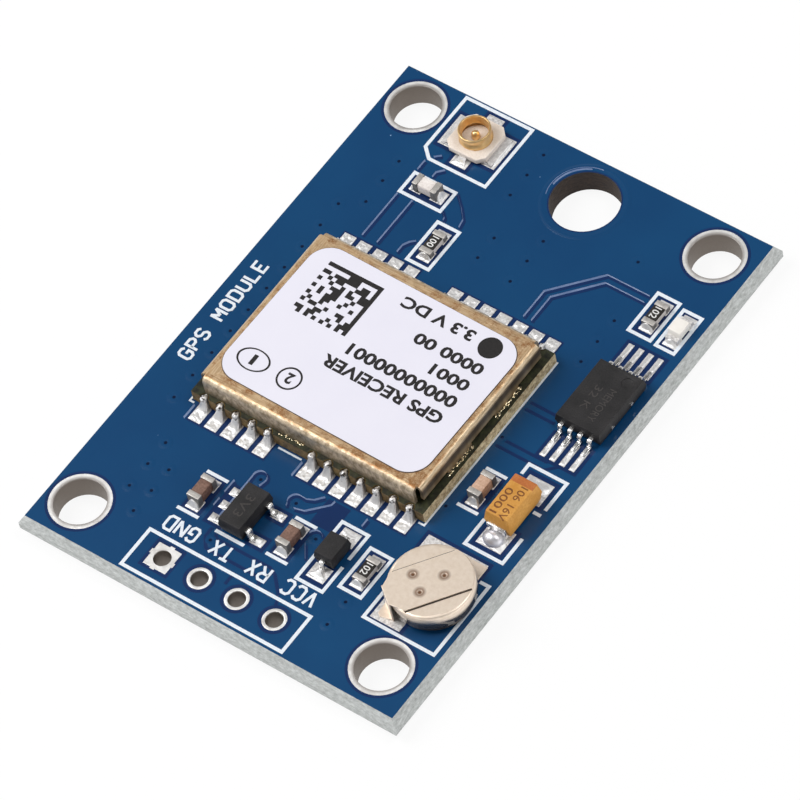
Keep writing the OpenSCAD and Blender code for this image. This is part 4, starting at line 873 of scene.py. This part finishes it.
# Chip parts: sintered ceramic bodies with silver ends dipped in tin. The antenna feed is a pale coil chip;
# resistors carry a dark glass coat with a value code; capacitors are brown, with rounded ends.
# Sintered ceramics are matt and finely mottled; the fired glass coat is nearly black.
pale_ceramic = moulding("pale_sintered_ceramic", "#CFC5BF", "#EDE6E1", 0.09)
brown_ceramic = moulding("brown_sintered_ceramic", "#5A4137", "#88695B", 0.12)
tan_ceramic = moulding("tan_sintered_ceramic", "#B08A72", "#D6B49C", 0.12)
black_glass = moulding("black_glass_coat", "#17130F", "#2A2520", 0.1)
# Dipped tin with a fine grain; its top is painted brighter and its sides greyer by their tilt, painted light
# and shade.
satin_ends, tree, shader, spot = finish("tin_dipped_ends", {"Metallic": 0.7})
grain = add(tree, "TexNoise", {"Vector": spot, "Scale": 1 / (0.13 * MM), "Detail": 4})
tilt = add(tree, "SeparateXYZ", {0: add(tree, "NewGeometry").outputs["Normal"]})
painted_light_by_tilt = add(tree, "MapRange", {"Value": tilt.outputs["Z"], "From Min": 0.1, "From Max": 0.95})
crown = add(tree, "Mix", {0: grain, 6: "#A6A09A", 7: "#DCD8D3"}, data_type="RGBA")
tone = add(tree, "Mix", {0: painted_light_by_tilt, 6: "#8B8680", 7: crown}, data_type="RGBA")
grained(tree, shader, tone, grain, (0.3, 0.55), 0.4, 0.03)
dress("feed_chip_body", "feed_chip", pale_ceramic, "white_ceramic", 0.11, 3)
dress("feed_chip_caps", "feed_chip_ends", satin_ends, "tinned_caps", 0.14, 3)
coat("resistor_slabs", pale_ceramic)
dress("resistor_coats", "resistor_coats_soft", black_glass, "black_coat", 0.025)
dress("resistor_caps", "resistor_ends", satin_ends, "tinned_caps", 0.03)
bm = softened("capacitor_bodies", 0.05)
for face in bm.faces:
    face.material_index = int(face.calc_center_median().x > 6)
smooth(build(bm, "capacitor_blocks", [brown_ceramic, tan_ceramic], "brown_ceramic", "capacitor_bodies"))
dress("capacitor_caps", "capacitor_ends", satin_ends, "tinned_caps", 0.1, 3)
# Printed code: matt white ink, slightly worn.
white_code = two_tone("white_value_print", "#C9C8C6", "#F1F0EE", 0.1, {"Roughness": 0.6})
COAT_TOP = 2.05
CODE_SIZE = (0.74, 0.42)


def marking(name, made, slot, foot, height, bold, lines):
    """Lines of print on a part's top, which read along the board."""
    bm = bmesh.new()
    for words, at, size in lines:
        print_words(bm, words, at, size, 270, foot, height, bold)
    seal(bm, 0.00005)
    build(bm, name, [made], slot)


marking("resistor_codes", white_code, "label", COAT_TOP, 0.008, 0.01,
        [(code, at, CODE_SIZE) for code, at in zip(("100", "102", "102"), RESISTORS)])


# Signal lamp: a light emitting diode in a clear resin lens cast on a white carrier with two tinned
# contacts, which are soldered like a chip part's ends. The resin is milky from the chip's cup below it.
# Filled polymer: a clean, matt white.
white_carrier = moulding("white_filled_polymer", "#DAD9D2", "#F1F0EA", 0.1)
coat("led_carrier", white_carrier)
# Cast resin: glossy and warm white, with a little light passing through.
clear_resin = two_tone("clear_cast_resin", "#EBE5DC", "#F7F3ED", 0.5,
                       {"IOR": 1.5, "Transmission Weight": 0.04, "Roughness": 0.25}, detail=2)
dress("led_lens", "led_dome", clear_resin, "led_lens", 0.05)
coat("led_contacts", frosty_tin)


# Solder of the chip parts: tin solder paste, melted in the oven into a fillet at each end, which climbs the
# dipped end and fans out over the land. Six parts and the lamp lie along the board, the feed lies across it.
LAMP = (11.351, 10.379)
CHIPS_ALONG = [(at, 0.32) for at in RESISTORS] + [(at, 0.44) for at in CAPACITORS] + [(LAMP, 0.24)]
CHIP_HALF = 0.8
CHIP_FAN = (0.72, 0.84)
bm = bmesh.new()
for i, ((x, y), height) in enumerate(CHIPS_ALONG):
    for side in (-1, 1):
        at = (x, y + CHIP_HALF * side, SEAT)
        solder_run(bm, at, 90 * side, i * 2 + side + 80, -0.03, 0.29, height, CHIP_FAN, 0.025, 0.95, 0.025)
for side in (-1, 1):
    at = (FEED[0] + CHIP_HALF * side, FEED[1], SEAT)
    solder_run(bm, at, 90 - 90 * side, side + 110, -0.03, 0.29, 0.43, CHIP_FAN, 0.025, 0.95, 0.025)
solder_piece(bm, "chip_joints", "chip_solder")


# Memory chip: a moulded block on eight gull wing leads of tinned copper alloy, soldered to narrow lands.
# A round dimple marks the first lead, and a faint laser marking says what it is.
MEMORY = (10.54, 4.152)
MEMORY_PITCH = 0.65
MEMORY_TOP = 2.6
LASER_H = 0.004
# Plated leads: clean bright tin, nearly a mirror.
bright_leads = two_tone("tin_plated_copper_alloy", "#CFCDCA", "#F5F4F2", 0.18,
                        {"Metallic": 1}, gloss=(0.16, 0.36))
dress("memory_body", "memory_block", black_epoxy, "black_moulding", 0.05)
dress("memory_leads", "memory_pins", bright_leads, "tinned_leads", 0.02)
# Cut ends of the lead frame's tie bars show as two bright spots on the side.
bm = bmesh.new()
for y in (4.92, 3.12):
    block(bm, (12.045, y), (0.08, 0.2), 2.05, 0.12)
build(bm, "memory_tie_bars", [bright_leads], "tinned_leads")
bm = bmesh.new()
for i in range(4):
    for side in (-1, 1):
        at = (MEMORY[0] + (i - 1.5) * MEMORY_PITCH, MEMORY[1] + side * 3.2, SEAT)
        solder_run(bm, at, 90 * side, i * 2 + side + 130, -0.25, 1.0, 0.07, (0.3, 0.3), 0.03, 0.7, 0.006)
solder_piece(bm, "memory_joints", "memory_solder")
# Laser marking: the skin of the epoxy is burnt off, which leaves a faint, matt grey.
laser_grey = two_tone("laser_marked_epoxy", "#302D2C", "#464241", 0.08,
                      {"Roughness": 0.7, "Specular IOR Level": 0.3})
marking("memory_marking", laser_grey, "black_moulding", MEMORY_TOP, LASER_H, 0.0,
        [("MEMORY", (10.95, 3.75), (2.3, 0.45)), ("32 K", (10.15, 3.9), (1.7, 0.45))])


# Voltage regulator: a small moulded block with three leads on one side and two on the other, tinned and
# soldered to short lands.
dress("regulator_body", "regulator_block", black_epoxy, "black_moulding", 0.05)
dress("regulator_leads", "regulator_pins", bright_leads, "tinned_leads", 0.03)
REGULATOR = (-1.83, -11.552)
REGULATOR_TOP = 2.79
bm = bmesh.new()
for side, steps in ((-1, (-1, 0, 1)), (1, (-1, 1))):
    for i in steps:
        at = (REGULATOR[0] + side * 1.42, REGULATOR[1] + i * 0.95, SEAT)
        solder_run(bm, at, 90 - 90 * side, i + 3 * side + 160, -0.2, 0.37, 0.08, (0.45, 0.5), 0.03, 0.8, 0.01)
solder_piece(bm, "regulator_joints", "regulator_solder")
marking("regulator_marking", laser_grey, "black_moulding", REGULATOR_TOP, LASER_H, 0.0,
        [("3V3", REGULATOR, (1.5, 0.55))])


# Diode: a moulded block of black epoxy with one flat tinned lead at each end, soldered to wide lands. The
# near joint fans out over its land; the far one is a low, dull skin.
dress("diode_body", "diode_block", black_epoxy, "black_moulding", 0.05)
dress("diode_leads", "diode_pins", bright_leads, "tinned_leads", 0.03)
DIODE = (3.699, -11.101)
bm = bmesh.new()
for side, height, rough in ((-1, 0.22, 0.02), (1, 0.004, 0.002)):
    at = (DIODE[0], DIODE[1] + side * 1.3, SEAT)
    solder_run(bm, at, 90 * side, side + 180, -0.15, 0.47, height, (0.4, 1.1), 0.03, 0.8, rough)
solder_piece(bm, "diode_joints", "diode_solder")


# Tantalum capacitor: a yellow moulded block with a brown band at its positive end, on two tinned strips that
# fold under it, with a large shiny joint at the near end.
# Yellow epoxy is warm and matt, and its printed band and codes are brown.
yellow_epoxy = moulding("yellow_moulded_epoxy", "#BF8433", "#D69F50", 0.12)
brown_band = moulding("brown_polarity_print", "#A55A28", "#BE743C", 0.1)
brown_marks = moulding("brown_value_print", "#704018", "#875428", 0.1)
TANTALUM = (10.55, -3.917)
TANTALUM_TOP = 3.27
BAND_Y = TANTALUM[1] + 0.9
bm = softened("tantalum_body", 0.09, 3)
bmesh.ops.bisect_plane(bm, geom=bm.verts[:] + bm.edges[:] + bm.faces[:], dist=0.0005,
                       plane_co=(0, BAND_Y, 0), plane_no=(0, 1, 0))
for face in bm.faces:
    middle = face.calc_center_median()
    face.material_index = int(middle.y > BAND_Y and middle.z > TANTALUM_TOP - 0.1)
smooth(build(bm, "tantalum_block", [yellow_epoxy, brown_band], "yellow_moulding", "tantalum_body"))
marking("tantalum_marking", brown_marks, "label", TANTALUM_TOP, 0.006, 0.008,
        [("106 16V", (TANTALUM[0] + 0.31, TANTALUM[1] - 0.32), (2.35, 0.46)),
         ("0001", (TANTALUM[0] - 0.33, TANTALUM[1] - 0.42), (1.75, 0.46))])
dress("tantalum_leads", "tantalum_strips", bright_leads, "tinned_leads", 0.03)
bm = bmesh.new()
for side, height in ((-1, 0.4), (1, 0.3)):
    at = (TANTALUM[0], TANTALUM[1] + side * 1.65, SEAT)
    solder_run(bm, at, 90 * side, side + 200, -0.03, 0.83, height, (1.15, 1.6), 0.04, 0.95, 0.03)
bead = bmesh.ops.create_uvsphere(bm, u_segments=32, v_segments=20, radius=1)["verts"]
bmesh.ops.scale(bm, vec=(0.64, 0.5, 0.5), verts=bead)
bmesh.ops.translate(bm, vec=(TANTALUM[0] - 0.02, TANTALUM[1] - 1.96, SEAT + 0.12), verts=bead)
for v in bead:
    v.co.z = max(v.co.z, SEAT)
for face in {f for v in bead for f in v.link_faces}:
    face.material_index = 1
# A thick bead cools slowly and stays smooth: a soft mirror with a faint lilac cast.
smooth_solder = two_tone("slow_cooled_solder", "#C8C6CE", "#F3F1F4", 0.6,
                         {"Metallic": 0.85, "Roughness": 0.42}, detail=2)
solder_piece(bm, "tantalum_joints", "tantalum_solder").data.materials.append(smooth_solder)


# Backup cell: a small rechargeable coin cell in a plated steel cup, with one tab welded across its top and
# folded down to the near land and one under it. The weld dimples are heat browned.
CELL = (9.91, -10.4)
CELL_R = 2.425
WELDS = [(0.458, 0.619), (-1.029, -0.197), (-0.048, -0.922)]
WELD_Z = 3.2
TAB_TURN = 53.5
# Nickel plate on steel: a warm, pale satin on top, on the tabs and on the upper wall; a dark mirror round the
# lower wall, whose darker grey is a painted reflection of the board; and brown rings of heat at each weld,
# each with a paler ring inside that is a painted glint.
champagne_steel, tree, shader, spot = finish("nickel_plated_steel", {"Metallic": 0.85})
grain = add(tree, "TexNoise", {"Vector": spot, "Scale": 1 / (0.25 * MM), "Detail": 4})
tone = add(tree, "Mix", {0: grain, 6: "#E2CFBA", 7: "#F8EADB"}, data_type="RGBA")
place = add(tree, "SeparateXYZ", {0: spot})
# Painted reflection: below 2.5 to 2.8 mm the cup's wall inside its radius is painted a darker grey, for the
# board it mirrors.
upper = add(tree, "MapRange", {"Value": place.outputs["Z"], "From Min": 2.5 * MM, "From Max": 2.8 * MM})
away = from_axis(tree, spot, CELL)
beyond = add(tree, "Math", {0: away, 1: (CELL_R + 0.02) * MM}, operation="GREATER_THAN")
bright = add(tree, "Math", {0: upper, 1: beyond}, operation="MAXIMUM")
gloss = add(tree, "MapRange", {"Value": bright, "To Min": 0.08, "To Max": 0.46})
tone = add(tree, "Mix", {0: bright, 6: "#7E756E", 7: tone}, data_type="RGBA")
welds = [add(tree, "VectorMath", {0: spot, 1: ((CELL[0] + x) * MM, (CELL[1] + y) * MM, WELD_Z * MM)},
             operation="DISTANCE") for x, y in WELDS]
nearest = welds[0]
for weld in welds[1:]:
    nearest = add(tree, "Math", {0: nearest, 1: weld}, operation="MINIMUM")
share = add(tree, "Math", {0: nearest, 1: 0.4 * MM}, operation="DIVIDE")
# Painted glint: a paler ring within each weld's brown stands for a highlight on the dimple's rim.
heat_tint_and_painted_glint = add(tree, "ValToRGB", {"Fac": share})
for at, level in ((0.2, 0.9), (0.34, 0.35), (0.5, 0.75), (0.68, 0.5)):
    heat_tint_and_painted_glint.color_ramp.elements.new(at).color = (level, level, level, 1)
heat_tint_and_painted_glint.color_ramp.elements[0].color = (1, 1, 1, 1)
heat_tint_and_painted_glint.color_ramp.elements[5].color = (0, 0, 0, 1)
shade = add(tree, "Mix", {0: heat_tint_and_painted_glint, 6: tone, 7: "#6E4526"}, data_type="RGBA")
feed(tree, shader, {"Base Color": shade, "Roughness": gloss})
dress("cell", "cell_cup", champagne_steel, "cell_steel", 0.0, angle=50)
dress("cell_top_tab", "cell_top_strip", champagne_steel, "cell_steel", 0.02, angle=12)
dress("cell_bottom_tab", "cell_bottom_strip", champagne_steel, "cell_steel", 0.02)
# Painted shadow in the slit beside the tab, and a painted dark line along its far edge: two thin dark lines.
painted_tab_shadow = moulding("painted_shadow_along_the_tab", "#2B221B", "#4A3B2E", 0.1)
bm = bmesh.new()
block(bm, (0, -1.365), (3.75, 0.08), 3.13, 0.02)
block(bm, (0, 1.3), (3.5, 0.025), 3.22, 0.002)
bmesh.ops.rotate(bm, cent=(0, 0, 0), matrix=Matrix.Rotation(radians(TAB_TURN), 3, "Z"), verts=bm.verts)
bmesh.ops.translate(bm, vec=(CELL[0], CELL[1], 0), verts=bm.verts)
build(bm, "cell_tab_lines", [painted_tab_shadow], "cell_steel")


# Stage: a plain white floor that keeps a faint shadow, a white backdrop with a darker ceiling, a soft box at
# the upper left, a small one overhead and a fill, and the camera where the photograph was taken.
FLOOR_HALF = 2
FLOOR_Z = -0.00002
# Matt white card: it shows as plain white paper, with only a breath of shadow.
floor_white, tree, shader, spot = finish("matt_white_card", {"Roughness": 0.9, "Specular IOR Level": 0.0,
                                                             "Base Color": "#F4F4F4"})
ray = add(tree, "LightPath")
seen = add(tree, "Math", {0: ray.outputs["Is Camera Ray"], 1: ray.outputs["Is Glossy Ray"]},
           operation="MAXIMUM")
shown = add(tree, "Math", {0: seen, 1: ray.outputs["Is Transmission Ray"]}, operation="MAXIMUM")
glow = add(tree, "Emission", {"Strength": 1.0})
share = add(tree, "Math", {0: shown, 1: 0.9}, operation="MULTIPLY")
mixed = add(tree, "MixShader", {0: share, 1: shader, 2: glow})
feed(tree, tree.nodes["Material Output"], {"Surface": mixed})
bm = bmesh.new()
bmesh.ops.create_grid(bm, x_segments=1, y_segments=1, size=FLOOR_HALF)
bmesh.ops.translate(bm, vec=(0, 0, FLOOR_Z), verts=bm.verts)
mesh = bpy.data.meshes.new("floor")
bm.to_mesh(mesh)
bm.free()
mesh.materials.append(floor_white)
floor = bpy.data.objects.new("floor", mesh)
bpy.context.scene.collection.objects.link(floor)

world = bpy.data.worlds.new("studio")
bpy.context.scene.world = world
world.use_nodes = True
tree = world.node_tree
sky = tree.nodes["Background"]
look = add(tree, "TexCoord")
way = add(tree, "SeparateXYZ", {0: look.outputs["Generated"]})
ceiling = add(tree, "MapRange", {"Value": way.outputs["Z"], "From Min": 0.3, "From Max": 0.72,
              "To Min": 0.85, "To Max": 0.14}, interpolation_type="SMOOTHSTEP")
ray = add(tree, "LightPath")
level = add(tree, "Mix", {0: ray.outputs["Is Camera Ray"], 2: ceiling, 3: 1.0})
feed(tree, sky, {"Strength": level, "Color": (1, 1, 1, 1)})

# The eye's place in millimetres, to the right, up and back of the middle of the board's top.
EYE = (-0.04, -1.069, 347.6)
azimuth, elevation, roll = radians(47.71), radians(53.999), radians(-13.952)
back = Vector((sin(azimuth) * cos(elevation), -cos(azimuth) * cos(elevation), sin(elevation)))
level_right = Vector((cos(azimuth), sin(azimuth), 0))
level_up = back.cross(level_right)
right = cos(roll) * level_right + sin(roll) * level_up
up = cos(roll) * level_up - sin(roll) * level_right
eye = (right * EYE[0] + up * EYE[1] + back * EYE[2] + Vector((0, 0, BOARD_TOP))) * MM
lens = bpy.data.cameras.new("camera")
lens.sensor_width = 36
lens.lens = 287.77
lens.clip_start = 0.01
lens.clip_end = 20
camera = bpy.data.objects.new("camera", lens)
camera.matrix_world = Matrix.Translation(eye) @ Matrix((right, up, back)).transposed().to_4x4()
bpy.context.scene.collection.objects.link(camera)
bpy.context.scene.camera = camera

for name, way, distance, size, power in [
    ("key_soft_box", right * -0.75 + up * 0.55 + back * 0.55, 0.45, 0.28, 1.5),
    ("top_soft_box", Vector((0.33, 0.3, 0.88)), 0.5, 0.18, 0.75),
    ("fill_soft_box", right * 0.8 + up * -0.35 + back * 0.6, 0.6, 0.4, 0.55),
]:
    lamp = bpy.data.lights.new(name, "AREA")
    lamp.size = size
    lamp.energy = power
    box = bpy.data.objects.new(name, lamp)
    spot_at = way.normalized() * distance
    box.matrix_world = Matrix.Translation(spot_at) @ spot_at.to_track_quat("Z", "Y").to_matrix().to_4x4()
    bpy.context.scene.collection.objects.link(box)

bpy.context.scene.view_settings.view_transform = "Standard"
